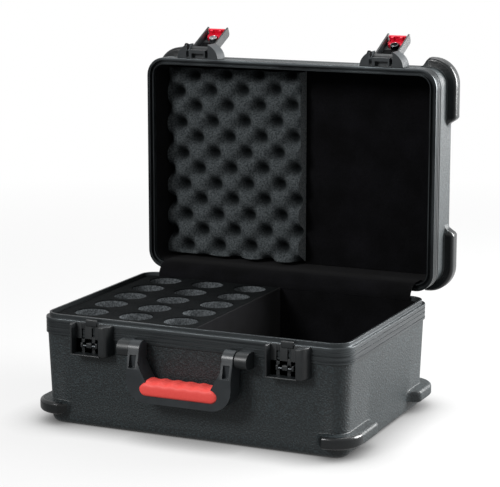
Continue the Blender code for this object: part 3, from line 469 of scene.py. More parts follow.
def foam(name, dark, light):
    """Open-cell polyurethane foam: matt, with pale cell walls over dark cells. The cells are about a
    millimetre across, and are drawn coarser so that they show."""
    material, tree, shader, place = new_material(name, {"Roughness": 0.92, "Specular IOR Level": 0.05})
    cells = add(tree, "ShaderNodeTexNoise", {"Vector": place, "Scale": 1 / foam_cell, "Detail": 3,
                                            "Roughness": 0.6})
    shade = add(tree, "ShaderNodeMapRange", {"Value": cells.outputs["Fac"], "From Min": 0.36,
                                            "From Max": 0.64})
    colour = add(tree, "ShaderNodeMix", {0: shade.outputs["Result"], 6: linear(dark), 7: linear(light)},
                 data_type="RGBA")
    bump = add(tree, "ShaderNodeBump", {"Height": cells.outputs["Fac"], "Strength": 0.7, "Distance": 0.0006})
    feed(tree, shader, {"Base Color": colour.outputs[2], "Normal": bump.outputs["Normal"]})
    return material


def left_outline(inset, right, radius, steps=10):
    """Plan of a block in the case's left end: two quarter circles at an inset, and a square right end."""
    edge_x = half_width - inset
    edge_y = half_depth - inset
    return np.vstack([arc((radius - edge_x, edge_y - radius), radius, 90, 180, steps),
                      arc((radius - edge_x, radius - edge_y), radius, 180, 270, steps),
                      [(right, -edge_y), (right, edge_y)]])


def level(outline, height):
    """An outline's points at one height."""
    return np.column_stack([outline, np.full(len(outline), height)])


def end_wall(right, insets, heights):
    """The wall of a block in the tray's left end: its outline drawn in by each inset, at each height."""
    radius = corner_radius - block_inset
    return np.stack([level(left_outline(block_inset + inset, right - inset, radius - inset), height)
                     for inset, height in zip(insets, heights)])


def slab_edges(bottom, top, foot, head, steps=3):
    """Insets and heights of a slab's rings, rounded at foot and head: over a quarter turn, radius times
    1 - sine in and 1 - cosine up from the bottom, then the other way round below the top."""
    turn = np.radians(np.linspace(0, 90, steps + 1))
    insets = np.concatenate([foot * (1 - np.sin(turn)), head * (1 - np.cos(turn))])
    heights = np.concatenate([bottom + foot * (1 - np.cos(turn)), top - head * (1 - np.sin(turn))])
    return insets, heights


def filled(name, walls, material, stands_for):
    """A slab in the base from wall grids whose first rows lie in one plane and last rows in another: both
    planes are filled."""
    made = piece(name, [grid(wall) for wall in walls], material, "base", stands_for)
    shape = bmesh.new()
    shape.from_mesh(made.data)
    planes = {}
    for edge in shape.edges:
        if edge.is_boundary:
            planes.setdefault(round(edge.verts[0].co.z, 5), []).append(edge)
    for edges in planes.values():
        bmesh.ops.triangle_fill(shape, edges=edges, use_beauty=True)
    bmesh.ops.recalc_face_normals(shape, faces=shape.faces)
    shape.to_mesh(made.data)
    shape.free()
    made.data.shade_smooth()
    made.data.set_sharp_from_angle(angle=math.radians(sharp_angle))
    return made


def foam_block():
    """The block's outer wall and fifteen hole walls, each rounded at the top, with flat faces between."""
    turn = np.radians(np.linspace(0, 90, 4))
    insets = np.concatenate([[0], foam_round * (1 - np.cos(turn))])
    heights = np.concatenate([[block_low.z], block_high.z - foam_round * (1 - np.sin(turn))])
    walls = [end_wall(block_high.x, insets, heights)]
    for column in range(hole_columns):
        for row in range(hole_rows):
            middle = np.array([hole_middle[0] + (column - hole_columns // 2) * hole_pitch[0],
                               hole_middle[1] + (row - hole_rows // 2) * hole_pitch[1]])
            walls.append(np.stack([level(arc(middle, hole_radius + inset, 0, 360, 48)[:-1], height)
                                   for inset, height in zip(insets, heights)]))
    return filled("foam_block", walls, foam_look, ["foam_insert"])


def on_block_top_shade(x, y, z):
    """True where the block is painted darker: its top and the rounding up to it."""
    return z > block_high.z - foam_round


def floor_pad():
    """The pad under the block: a slab with rounded edges."""
    low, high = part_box("foam_floor_pad")
    wall = end_wall(high.x, *slab_edges(low.z, high.z, pad_round, foam_round))
    return filled("foam_base_pad", [wall], foam_look, ["foam_floor_pad"])


foam_look = foam("charcoal open-cell foam", foam_colour, foam_light)
# The block's top gets a darker copy of the foam: painted shade on the faces that look up.
block_top_shade_look = foam("charcoal felt laminated on foam", block_top_shade_colour, block_top_shade_light)
painted(foam_block(), block_top_shade_look, on_block_top_shade)
floor_pad()


# Divider and compartment pad: a thin upright board that closes the compartment on the right, and the pad on
# that compartment's floor. Both are wrapped in the lining's plush and glued in.

divider_round = 0.0013
divider_corner = divider_round * 1.1
compartment_round = 0.0042


def corners(node):
    """A node's box as two arrays."""
    return [np.array(corner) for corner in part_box(node)]


def divider_board():
    """A board that fills its node's box, every edge rounded: rings drawn in at the foot and the head."""
    low, high = corners("divider_panel")
    rings = []
    for inset, height in zip(*slab_edges(low[2], high[2], divider_round, divider_round)):
        radius = divider_corner - inset
        x0, y0 = low[:2] + inset + radius
        x1, y1 = high[:2] - inset - radius
        turns = ((x1, y1, 0), (x0, y1, 90), (x0, y0, 180), (x1, y0, 270))
        ring = np.vstack([arc((x, y), radius, start, start + 90, 3) for x, y, start in turns])
        rings.append(level(ring, height))
    return piece("divider_board", [grid(np.stack(rings), capped=True)], plush_look, "base",
                 ["divider_panel"])


def compartment_pad():
    """The compartment's floor pad, its right corners following the tray's: the left end's wall, mirrored."""
    low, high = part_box("compartment_pad")
    wall = end_wall(-low.x, *slab_edges(low.z, high.z, compartment_round, foam_round / 2)) * (-1, 1, 1)
    return filled("compartment_floor", [wall], plush_look, ["compartment_pad"])


divider_board()
compartment_pad()


# Keepers: glass-filled nylon shrouds screwed to the base's front. Each has a pocket for the lever, ribs that
# hold the steel catch pin, and a tab that finds the window in the latch housing. Slots and ribs are placed
# from the pin's middle, and the slots' heights from the keeper's foot.

keeper_plate = 0.0018
keeper_plate_round = 0.0003
keeper_trim = 0.0022
keeper_shoulder = 0.004
keeper_wall = 0.0030
keeper_wall_foot = 0.001
keeper_wall_head = 0.0006
keeper_wall_round = 0.0013
ear_width = 0.0016
ear_depth = (0.001, 0.005)
ear_below_rim = (0.004, 0.0002)
ear_round = 0.0006
keeper_lip = 0.0022
keeper_lip_end = 0.002
keeper_lip_round = 0.0011
keeper_swell = 0.0090
keeper_head = 0.0008
keeper_dish = 0.0016
dish_shares = (0.35, 0.45)
keeper_toe = 0.0042
swell_round = 0.0012
swell_steps = (0.003, 0.0015, 0)
pocket_half = 0.0182
slot_places = ((-0.0150, -0.0102), (0.0012, 0.0062))
slot_rise = ((0.0215, 0.0360), (0.0250, 0.0375))
least_strip = 0.001
rib_spans = ((-0.0133, -0.0098), (-0.0042, 0.0042), (0.0098, 0.0133))
rib_reach = 0.0092
rib_root = 0.0005
rib_below = 0.0012
rib_above = 0.0030
rib_round = 0.0009
tab_offset = 0.002
tab_half = 0.009
tab_front = 0.0042
tab_back = 0.0018
tab_foot = 0.005
tab_round = 0.0012
weld_reach = 0.00001
nylon_colour = "#23272a"
nylon_light = "#303538"
dark_nylon_colour = "#121517"
dark_nylon_light = "#1e2224"
steel_colour = "#b9bcbf"
dark_steel_colour = "#5d6164"


def moulded(name, dark, light, roughness=0.34, ior=1.53):
    """A hard plastic from a polished mould, by its typical values glass-filled nylon: satin, with faint flow
    marks about 17 mm long and a grain of 0.7 mm."""
    material, tree, shader, place = new_material(name, {"Roughness": roughness, "IOR": ior})
    flow = add(tree, "ShaderNodeTexNoise", {"Vector": place, "Scale": 60, "Detail": 3, "Distortion": 0.6})
    grain = add(tree, "ShaderNodeTexNoise", {"Vector": place, "Scale": 1400, "Detail": 2})
    colour = add(tree, "ShaderNodeMix", {0: flow.outputs["Fac"], 6: linear(dark), 7: linear(light)},
                 data_type="RGBA")
    gloss = add(tree, "ShaderNodeMapRange", {"Value": flow.outputs["Fac"], "To Min": roughness - 0.08,
                                            "To Max": roughness + 0.1})
    bump = add(tree, "ShaderNodeBump", {"Height": grain.outputs["Fac"], "Strength": 0.15, "Distance": 0.0001})
    feed(tree, shader, {"Base Color": colour.outputs[2], "Roughness": gloss.outputs["Result"],
                        "Normal": bump.outputs["Normal"]})
    return material


def steel(name, colour, roughness):
    """Zinc-plated steel, tumbled: bright, with a gloss that clouds over about 3 mm."""
    material, tree, shader, place = new_material(name, {"Metallic": 1.0, "Roughness": roughness})
    cloud = add(tree, "ShaderNodeTexNoise", {"Vector": place, "Scale": 300, "Detail": 3})
    gloss = add(tree, "ShaderNodeMapRange", {"Value": cloud.outputs["Fac"], "To Min": roughness - 0.08,
                                            "To Max": roughness + 0.12})
    shade = add(tree, "ShaderNodeMapRange", {"Value": cloud.outputs["Fac"], "To Min": 0.85, "To Max": 1.05})
    base = add(tree, "ShaderNodeRGB")
    base.outputs[0].default_value = linear(colour)
    tinted = add(tree, "ShaderNodeVectorMath", {0: base.outputs[0], 3: shade.outputs["Result"]},
                 operation="SCALE")
    feed(tree, shader, {"Base Color": tinted.outputs[0], "Roughness": gloss.outputs["Result"]})
    return material


nylon_look = moulded("glass-filled grey nylon", nylon_colour, nylon_light)
dark_nylon_look = moulded("glass-filled black nylon", dark_nylon_colour, dark_nylon_light, 0.42)
steel_look = steel("zinc-plated steel", steel_colour, 0.3)
dark_steel_look = steel("black-zinc steel", dark_steel_colour, 0.45)


def dressed(node, material, edge, segments=3):
    """A CAD node in its finish, its edges rounded: triangles welded, flats dissolved, then bevelled. With no
    edge it keeps its sharp edges."""
    made = nodes[node]
    made.data.materials.clear()
    made.data.materials.append(material)
    if not edge:
        made.data.shade_flat()
        return
    made.data.shade_smooth()
    weld = made.modifiers.new("weld", "WELD")
    weld.merge_threshold = weld_reach
    flats = made.modifiers.new("flats", "DECIMATE")
    flats.decimate_type = "DISSOLVE"
    flats.angle_limit = math.radians(1)
    bevel = made.modifiers.new("edges", "BEVEL")
    bevel.width = edge
    bevel.segments = segments
    bevel.limit_method = "ANGLE"
    bevel.angle_limit = math.radians(30)
    bevel.harden_normals = False
    sharp = made.modifiers.new("normals", "WEIGHTED_NORMAL")
    sharp.keep_sharp = True


def loft(outline, back, heights, insets):
    """Rings of one plan outline: at each height it is drawn in to its middle and its back by an inset."""
    low = outline.min(axis=0)
    middle = np.array([(low[0] + outline[:, 0].max()) / 2, back])
    size = np.array([middle[0] - low[0], back - low[1]])
    flat = middle + (outline - middle) * (1 - insets[:, None, None] / size)
    heights = np.broadcast_to(heights.reshape(len(insets), -1), flat.shape[:2])
    return np.concatenate([flat, heights[..., None]], axis=2)


def soft_box(low, high, rounding):
    """A block whose front corners and both ends are rounded: its plan lofted with quarter-circle insets."""
    x0, y0, z0 = low
    x1, y1, z1 = high
    outline = np.vstack([[(x0, y1)], arc((x0 + rounding, y0 + rounding), rounding, 180, 270, 5),
                         arc((x1 - rounding, y0 + rounding), rounding, 270, 360, 5), [(x1, y1)]])
    insets, heights = slab_edges(z0, z1, rounding, rounding, steps=4)
    return grid(loft(outline, y1, heights, insets), capped=True)


def slotted_plate(middle, left, right, front, back, bottom, top):
    """A plate as upright strips beside, below and above its two slots."""
    (first, second), (third, fourth) = slot_places
    columns = ((left, middle + first, None), (middle + second, middle + third, None),
               (middle + fourth, right, None), (middle + first, middle + second, slot_rise[0]),
               (middle + third, middle + fourth, slot_rise[1]))
    strips = []
    for x0, x1, slot in columns:
        spans = [(bottom, bottom + slot[0]), (bottom + slot[1], top)] if slot else [(bottom, top)]
        strips += [soft_box((x0, front, z0), (x1, back, z1), keeper_plate_round) for z0, z1 in spans
                   if z1 - z0 > least_strip]
    return strips


def swollen_block(left, right, face, seat, bottom):
    """The right block: a plan that swells to the right along a quarter ellipse, a rounded toe, and a top that
    dips at the left by the dish."""
    swell = np.radians(np.linspace(8, 90, 12))
    flat_end = right - keeper_swell
    outline = np.vstack([[(left, seat)],
                         arc((left + swell_round, face + swell_round), swell_round, 180, 270, 5),
                         [(flat_end - before, face) for before in swell_steps],
                         np.column_stack([right - keeper_swell * (1 - np.sin(swell)),
                                          seat - (seat - face) * np.cos(swell)])])
    start, length = dish_shares
    dip = keeper_dish * (1 - ramp((outline[:, 0] - left) / (right - left) - start, length))
    insets, heights = slab_edges(bottom, 0, keeper_toe, swell_round, steps=5)
    upper = np.arange(len(heights)) >= len(heights) // 2
    heights = heights[:, None] + upper[:, None] * (rim - keeper_head - dip)
    return grid(loft(outline, seat, heights, insets), capped=True)


def keeper(side):
    """Slotted back plate, thinner above where the band lies behind it; thin left wall with an ear; lip along
    the foot; swollen right block; three ribs for the pin; and the tab."""
    low, high = corners(f"keeper_{side}")
    pin_low, pin_high = corners(f"keeper_pin_{side}")
    middle = (pin_low[0] + pin_high[0]) / 2
    face, seat, bottom = low[1], high[1], low[2]
    band_seat = -half_depth - fit_gap
    plate = band_seat - keeper_plate
    left = low[0] + keeper_trim
    pocket_right = middle + pocket_half
    parts = []
    for back, top in ((band_seat, rim - keeper_lip / 2), (seat, rim - band_height - fit_gap)):
        parts += slotted_plate(middle, left, high[0] - keeper_shoulder, plate, back, bottom, top)
    parts.append(soft_box((left, face, bottom + keeper_wall_foot),
                          (left + keeper_wall, band_seat, rim - keeper_wall_head), keeper_wall_round))
    parts.append(soft_box((left, face + ear_depth[0], rim - ear_below_rim[0]),
                          (left + ear_width, face + ear_depth[1], rim - ear_below_rim[1]), ear_round))
    parts.append(soft_box((left, face, bottom),
                          (pocket_right + keeper_lip_end, seat, bottom + keeper_lip), keeper_lip_round))
    parts.append(swollen_block(pocket_right, high[0], face, seat, bottom))
    for x0, x1 in rib_spans:
        parts.append(soft_box((middle + x0, -half_depth - rib_reach, pin_low[2] - rib_below),
                              (middle + x1, plate + rib_root, pin_high[2] + rib_above), rib_round))
    tab_middle = (low[0] + high[0]) / 2 - tab_offset
    parts.append(soft_box((tab_middle - tab_half, -half_depth - tab_front, rim - tab_foot),
                          (tab_middle + tab_half, -half_depth - tab_back, high[2]), tab_round))
    return piece(f"keeper_{side}_moulding", parts, dark_nylon_look, "base", [f"keeper_{side}"],
                 angle=35)


for side in ("left", "right"):
    keeper(side)
    dressed(f"keeper_pin_{side}", dark_steel_look, 0.0002, 1)


# Handle: two nylon brackets riveted to the front, steel pins, a nylon frame that drops flat, and a soft red
# grip moulded over its bar.

grip_wave = 0.0016
grip_waves = 6
grip_round_top = 3.2
grip_round_foot = 5
grip_end_power = 0.15
rubber_cell = 0.004
grip_colour = "#f84c46"
grip_light = "#ff5c54"


def red_rubber():
    """Thermoplastic rubber moulded over the bar: coral red and matt, in soft clouds of 4 mm, with a grain of
    1.1 mm."""
    material, tree, shader, place = new_material("coral thermoplastic rubber", {
        "Roughness": 0.55, "IOR": 1.5, "Subsurface Weight": 0.0})
    cloud = add(tree, "ShaderNodeTexNoise", {"Vector": place, "Scale": 1 / rubber_cell, "Detail": 2})
    colour = add(tree, "ShaderNodeMix", {0: cloud.outputs["Fac"], 6: linear(grip_colour),
                                         7: linear(grip_light)}, data_type="RGBA")
    grain = add(tree, "ShaderNodeTexNoise", {"Vector": place, "Scale": 900, "Detail": 2})
    bump = add(tree, "ShaderNodeBump", {"Height": grain.outputs["Fac"], "Strength": 0.2, "Distance": 0.0002})
    feed(tree, shader, {"Base Color": colour.outputs[2], "Normal": bump.outputs["Normal"]})
    return material


def grip():
    """The sleeve: a section whose height and depth follow superellipses, fuller below than above, carried
    along X. Its ends close as half circles, and waves for the fingers run along its top."""
    low, high = corners("handle_grip")
    middle = (low + high) / 2
    depth = (high[1] - low[1]) / 2
    tall = (high[2] - low[2] - grip_wave) / 2
    centre = low[2] + tall
    half_length = (high[0] - low[0]) / 2
    x = middle[0] + np.sin(np.linspace(-1, 1, 161) * math.pi / 2) * half_length
    over = np.clip((np.abs(x - middle[0]) - (half_length - tall)) / tall, 0, 1)
    closing = np.sqrt(1 - over ** 2)[:, None]
    turn = np.linspace(0, 2 * math.pi, 49)[:-1]
    rise = np.sin(turn)[None]
    power = np.where(rise > 0, 2 / grip_round_top, 2 / grip_round_foot)
    wave = grip_wave * (0.5 - 0.5 * np.cos(2 * math.pi * grip_waves * (x - x[0]) / (x[-1] - x[0])))[:, None]
    across = np.sign(np.cos(turn)) * np.abs(np.cos(turn)) ** power
    y = middle[1] + depth * closing ** grip_end_power * across
    z = centre + closing * (tall + wave * (rise > 0)) * np.sign(rise) * np.abs(rise) ** power
    points = np.stack([np.broadcast_to(x[:, None], y.shape), y, z], axis=-1)
    return piece("handle_rubber_grip", [grid(points, capped=True)], rubber_look, "handle",
                 ["handle_grip"], angle=60)


rubber_look = red_rubber()
for side in ("left", "right"):
    dressed(f"handle_bracket_{side}", dark_nylon_look, 0.0032, 4)
    dressed(f"handle_pin_{side}", steel_look, 0.0003, 1)
dressed("handle_frame", nylon_look, 0.0026, 4)
grip()


# Hinges: two zinc-plated steel butts behind, each a base leaf and a lid leaf on one pin. Their leaves are
# riveted to the valances, and lugs on them stop the open lid.

for side in ("left", "right"):
    for leaf in ("hinge_base_leaf", "hinge_lid_leaf"):
        dressed(f"{leaf}_{side}", steel_look, 0.0004, 2)
        for number in (1, 2):
            dressed(f"{leaf}_{side}_rivet_{number}", steel_look, 0.0005, 2)
    dressed(f"hinge_pin_{side}", steel_look, 0.0003, 1)


# Lid shell: the shallower half, moulded like the base. It is drawn as it lies closed and then laid open about
# the hinges' axis.

joints = {row["name"]: row for row in frame["joints"]}
hinge = joints["lid_hinge"]["pos_m"]
rim_gap = 0.0004
lid_height = 0.084
lid_bumper_foot = 0.0265
lid_bumper_head = 0.005
lid_rim = rim + rim_gap
lid_top = rim + lid_height
lid_draft = 0.0015
lid_draft_share = 0.3
lid_side_leg = 0.0895
tongue_clearance = 0.0004
lid_seat = lid_rim + tongue_height + tongue_clearance + web


def opened(points):
    """Closed places turned a quarter turn back about the hinges' axis: height becomes depth, depth drop."""
    x, y, z = np.moveaxis(points, -1, 0)
    return np.stack([x, hinge[1] + (z - hinge[2]), hinge[2] - (y - hinge[1])], axis=-1)


def on_lid_nose(x, y, z):
    """True on the open lid's bumpers, over their reach beyond the wall."""
    low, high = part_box("lid_shell")
    return past_wall(x, z - (low.z + high.z) / 2)


def lid_shell():
    """Panel, rounded edge, wall with bumpers, and the inner wall, as one closed skin."""
    foot = shell_step + lid_draft
    shoulder = lid_rim + band_height
    edge_height = lid_seat + fit_gap
    middle = (foot + shell_edge, lid_top - shell_edge)
    edge = arc(middle, shell_edge, 90, 180, 8)
    section, bare = bumper_section(foot - lid_draft * lid_draft_share, lid_top - lid_bumper_foot,
                                   lid_top - lid_bumper_head)
    above = np.array([(shell_step, shoulder), (shell_step, edge_height),
                      (shell_step + shell_wall, edge_height), (shell_step + shell_wall, shoulder),
                      (foot + shell_wall, lid_top - shell_edge)])
    ceiling = arc(middle, shell_edge - shell_wall, 180, 90, 4)
    insets, heights = with_bumpers(edge, section[::-1], bare[::-1], np.vstack([above, ceiling]),
                                   bumper_window(lid_side_leg, lid_side_leg))
    return piece("lid_shell_moulding", [grid(opened(swept(insets, heights)), capped=True)], shell_look, "lid",
                 ["lid_shell"])


painted(lid_shell(), smooth_look, on_lid_nose)


# Lid valance: the other half of the rim's extrusion pair, black anodised and pressed over the lid's wall as
# the base's is, with the groove that takes the tongue. It is the same metal as the base's, given darker
# colours: painted shade.

lip_thickness = 0.0018
leg_thickness = 0.0013
lip_round = 0.0004
lid_band_shaded_colour = "#1a1c1e"
lid_band_shaded_streak = "#454a4c"


def lid_valance():
    """Groove, face, inner leg and lip as one closed extrusion."""
    groove_top = lid_rim + tongue_height + tongue_clearance
    outer = tongue_inset - tongue_clearance
    inner = tongue_inset + tongue_thickness + tongue_clearance
    lip = inner + lip_thickness
    channel = shell_step + shell_wall + fit_gap
    leg = channel + leg_thickness
    soft_rim = lid_rim + lip_round
    profile = np.vstack([
        [(inner, soft_rim), (inner, groove_top), (outer, groove_top), (outer, soft_rim),
         (outer - lip_round, lid_rim)],
        band_face(lid_rim + band_height, -1)[::-1],
        [(shell_step - fit_gap, lid_rim + band_height), (shell_step - fit_gap, lid_seat), (channel, lid_seat),
         (channel, lid_seat + leg_height), (leg, lid_seat + leg_height), (leg, lid_seat), (lip, lid_seat),
         (lip, soft_rim), (lip - lip_round, lid_rim), (inner + lip_round, lid_rim)]])
    rows = swept(profile[:, :1], profile[:, 1:])
    return piece("lid_valance_extrusion", [grid(opened(rows), ends=True)], anodised_lid_shaded_look, "lid",
                 ["lid_valance"], angle=25)


# A darker copy of the base's anodised look: painted shade.
anodised_lid_shaded_look = anodised("brushed black anodised aluminium, lid", lid_band_shaded_colour, lid_band_shaded_streak, 1)
lid_valance()


# Lid lining, pad and egg-crate foam: a plush tray, a flat plush pad on the right, and on the left a sheet of
# convoluted foam whose bumps press on the microphones' heads.

lid_lining_inset = shell_step + shell_wall + leg_thickness + 2 * fit_gap
lid_lining_foot = lid_lining_inset + lid_draft
lid_ceiling = lid_top - shell_wall - fit_gap
lid_fabric = lid_ceiling - lining - fit_gap
lid_inset = lid_lining_foot + lining + fit_gap
lid_pad_thickness = 0.007
lid_pad_back_round = 0.0042
lid_pad_round = 0.0015
crate_left = -0.222
crate_right = 0.002
crate_front = -0.146
crate_back = 0.148
crate_thickness = 0.0364
crate_depth = 0.024
crate_narrow = 1.9
crate_pitch = (0.0545, 0.0488)
crate_turn = math.radians(3.4)
crate_pit = (-0.2049, -0.1070)
pit_shade_lip_share = 0.75
pit_shade_back_fade = (0.001, 0.004)
painted_light_side_depth = 0.0002
crate_colour = "#313537"
crate_light = "#575c5e"
crate_pit_shade = "#141718"
crate_side_painted_light_colour = "#6c7274"
crate_side_painted_light_cells = "#a3a8aa"


def lid_lining():
    """The tray inside the lid, from the valance's leg to the panel."""
    radius = shell_edge - shell_wall
    middle = (lid_lining_foot + radius, lid_ceiling - radius)
    profile = np.vstack([
        arc(middle, radius, 90, 180, 5), [(lid_lining_inset, lid_seat + leg_height)],
        lining_lip(lid_lining_inset, lid_seat + fit_gap, -1),
        [(lid_lining_inset + lining, lid_seat + leg_height)], arc(middle, radius - lining, 180, 90, 5)])
    rows = swept(profile[:, :1], profile[:, 1:])
    return piece("lid_plush_tray", [grid(opened(rows), capped=True)], plush_look, "lid",
                 ["lid_lining"])


def crate_height(x, y):
    """How far the foam stands off its pits' level. The product of two cosines staggers bumps and pits, and a
    power makes the pits narrow and the bumps broad: depth * (1 - ((1 + cos a cos b) / 2) ** crate_narrow)."""
    along_x = (x - crate_pit[0]) * math.cos(crate_turn) - (y - crate_pit[1]) * math.sin(crate_turn)
    along_y = (x - crate_pit[0]) * math.sin(crate_turn) + (y - crate_pit[1]) * math.cos(crate_turn)
    wave = np.cos(2 * np.pi * along_x / crate_pitch[0]) * np.cos(2 * np.pi * along_y / crate_pitch[1])
    return crate_depth * (1 - ((1 + wave) / 2) ** crate_narrow)


def pit_shaded(material, lip, foot):
    """Darkens a foam's colour from a depth, the pits' lips, to their feet: painted shade for the light that
    the pits' walls hide. Behind the pits' feet the foam has its own colour again."""
    tree = material.node_tree
    shader = tree.nodes["Principled BSDF"]
    place = add(tree, "ShaderNodeTexCoord").outputs["Object"]
    depth = add(tree, "ShaderNodeSeparateXYZ", {"Vector": place}).outputs["Y"]
    into = add(tree, "ShaderNodeMapRange", {"Value": depth, "From Min": lip, "From Max": foot},
               interpolation_type="SMOOTHSTEP")
    near, far = pit_shade_back_fade
    face = add(tree, "ShaderNodeMapRange", {"Value": depth, "From Min": foot + near, "From Max": foot + far,
                                            "To Min": 1.0, "To Max": 0.0})
    both = add(tree, "ShaderNodeMath", {0: into.outputs["Result"], 1: face.outputs["Result"]},
               operation="MULTIPLY")
    plain = shader.inputs["Base Color"].links[0].from_socket
    colour = add(tree, "ShaderNodeMix", {0: both.outputs[0], 6: plain, 7: linear(crate_pit_shade)},
                 data_type="RGBA")
    feed(tree, shader, {"Base Color": colour.outputs[2]})
    return material


def on_crate_side_painted_light(x, y, z):
    """True on the egg-crate foam's right side, which a straight cut left open; it is given a lighter colour:
    painted light.
    """
    return x > crate_right - painted_light_side_depth


def lid_foam():
    """A closed sheet: the waved face on a fine grid held inside the tray's corners, and a flat back."""
    x, y = np.meshgrid(np.linspace(crate_left, crate_right, 90), np.linspace(crate_front, crate_back, 118))
    radius = corner_radius - lid_inset
    middle_x = lid_inset + radius - half_width
    middle_y = half_depth - lid_inset - radius
    over_x = np.minimum(x - middle_x, 0)
    over_y = np.sign(y) * np.maximum(np.abs(y) - middle_y, 0)
    far = np.maximum(np.hypot(over_x, over_y), 1e-9)
    pull = np.where((over_x < 0) & (over_y != 0), np.minimum(radius / far, 1), 1)
    x = np.where(over_y != 0, np.where(over_x < 0, middle_x + over_x * pull, x), x)
    y = np.where(over_x < 0, np.where(over_y != 0, np.sign(y) * middle_y + over_y * pull, y), y)
    face = lid_fabric - (crate_thickness - crate_depth) - crate_height(x, y)
    front, back = (np.stack([x, y, depth], axis=-1) for depth in (face, np.full_like(x, lid_fabric)))
    border, back_border = (np.concatenate([sheet[0, :-1], sheet[:-1, -1], sheet[-1, :0:-1], sheet[:0:-1, 0]])
                           for sheet in (front, back))
    share = np.linspace(0, 1, 8)[:, None, None]
    skirt = border[None] * (1 - share) + back_border[None] * share
    parts = [grid(opened(front), around=False), grid(opened(skirt)), grid(opened(back), around=False)]
    foot = opened(np.array([0, 0, lid_fabric - crate_thickness + crate_depth]))[1]
    # The pits are painted darker by their depth: painted shade.
    crate_look = pit_shaded(foam("charcoal egg-crate foam", crate_colour, crate_light),
                        foot - crate_depth * pit_shade_lip_share, foot)
    return piece("egg_crate_foam", parts, crate_look, "lid", ["lid_foam"], angle=55)


def lid_pad():
    """The flat pad: right end of the tray's plan, with a rounded front edge."""
    turn = np.radians(np.linspace(0, 90, 4))
    insets = np.concatenate([[lid_pad_back_round, 0.0], lid_pad_round * (1 - np.cos(turn))])
    heights = np.concatenate([[lid_fabric, lid_fabric - lid_pad_back_round],
                              lid_fabric - lid_pad_thickness + lid_pad_round * (1 - np.sin(turn))])
    radius = corner_radius - lid_inset
    wall = np.stack([level(left_outline(lid_inset + inset, -crate_right - fit_gap, radius - inset), height)
                     for inset, height in zip(insets, heights)]) * (-1, 1, 1)
    return piece("lid_plush_pad", [grid(opened(wall), capped=True)], plush_look, "lid", ["lid_pad"])


lid_lining()
egg_crate = lid_foam()
# The foam's right side gets a lighter copy of the foam: painted light where the lamps don't reach it.
crate_side_painted_light_look = foam("charcoal egg-crate foam, cut edge", crate_side_painted_light_colour, crate_side_painted_light_cells)
painted(egg_crate, crate_side_painted_light_look, on_crate_side_painted_light)
lid_pad()


# Hinge cover: a strip of the same plush, glued inside the base's rear wall and the lid's, that hides the gap
# over the hinges. The real strip folds as the lid closes; this piece is drawn in one shape.

cover_thickness = 0.0015
cover_off_share = 0.2
cover_bow = 0.0032
cover_on_lid = (0.015, 0.029)
cover_waves = ((0.0004, 90, 0), (0.0003, 37, 1))


def hinge_cover():
    """The strip's section, a bowed run with a thickness, carried along X with slow waves. Each wave has a
    height, radians per metre and a shift. Also gives the strip's flat size."""
    low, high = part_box("hinge_cover")
    wall = low.y
    off_wall = wall + cover_thickness * cover_off_share
    start = np.array([off_wall, rim + tongue_height])
    corner = np.array([hinge[1], high.z - cover_thickness])
    share = np.linspace(0, 1, 13)[:, None]
    bow = np.array([-1, 1]) / math.sqrt(2) * cover_bow * np.sin(np.pi * share)
    run = np.vstack([[(off_wall, lining_top + lining_round)], start * (1 - share) + corner * share + bow,
                     [(hinge[1] + place, corner[1]) for place in cover_on_lid]])
    along = np.gradient(run, axis=0)
    along /= np.linalg.norm(along, axis=1, keepdims=True)
    normal = np.stack([-along[:, 1], along[:, 0]], axis=1)
    section = np.vstack([run, (run + normal * cover_thickness * (1 - cover_off_share))[::-1]])
    x = np.linspace(low.x, high.x, 60)
    wave = sum(height * np.sin(x * turn + shift) for height, turn, shift in cover_waves)[:, None]
    fade = np.sin(np.pi * np.clip((section[:, 0] - wall) / (hinge[1] + cover_on_lid[0] - wall), 0, 1))
    points = np.stack([np.broadcast_to(x[:, None], (len(x), len(section))), section[:, 0] - wave * fade,
                       section[:, 1] + wave * fade], axis=-1)
    made = piece("hinge_gap_cover", [grid(points, capped=True)], plush_look, None, ["hinge_cover"])
    return made, (high.x - low.x, float(np.linalg.norm(np.diff(run, axis=0), axis=1).sum()))


cover, cover_cut = hinge_cover()
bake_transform(cover)


# Latches: nylon housings screwed to the lid's valance, nylon levers on steel pins, and in each lever a red
# acetal lock slide, a key cylinder and the two black bars of its link.

slide_colour = "#d8002a"
slide_light = "#e80c36"
black_colour = "#050506"
black_light = "#0e0f10"
lock_radius = 0.0060
lock_half = 0.0048
lock_ring = 0.0006
lock_recess = 0.0012
lock_round = 0.0004
lock_ring_round = 0.0002
lock_hub = 0.0001
bright_shares = (0.9, 0.97)
link_half = 0.0142
link_start = 0.0222
link_end = 0.0345
link_rise = 0.0012
link_seam = 0.0016
link_edge = 0.0004
link_floor = -0.0047


def turned_frame(side):
    """The open lever's own directions: along it to its tip, and out of its channel; and its pivot's place."""
    pivot = np.array(joints[f"latch_{side}_pivot"]["pos_m"], dtype=float)
    out = np.array(joints[f"lock_{side}_turn"]["axis"], dtype=float)
    out = out / np.linalg.norm(out)
    out = out * (1 if out[2] > 0 else -1)
    tipward = np.array([0, out[2], -out[1]])
    return pivot, tipward, out


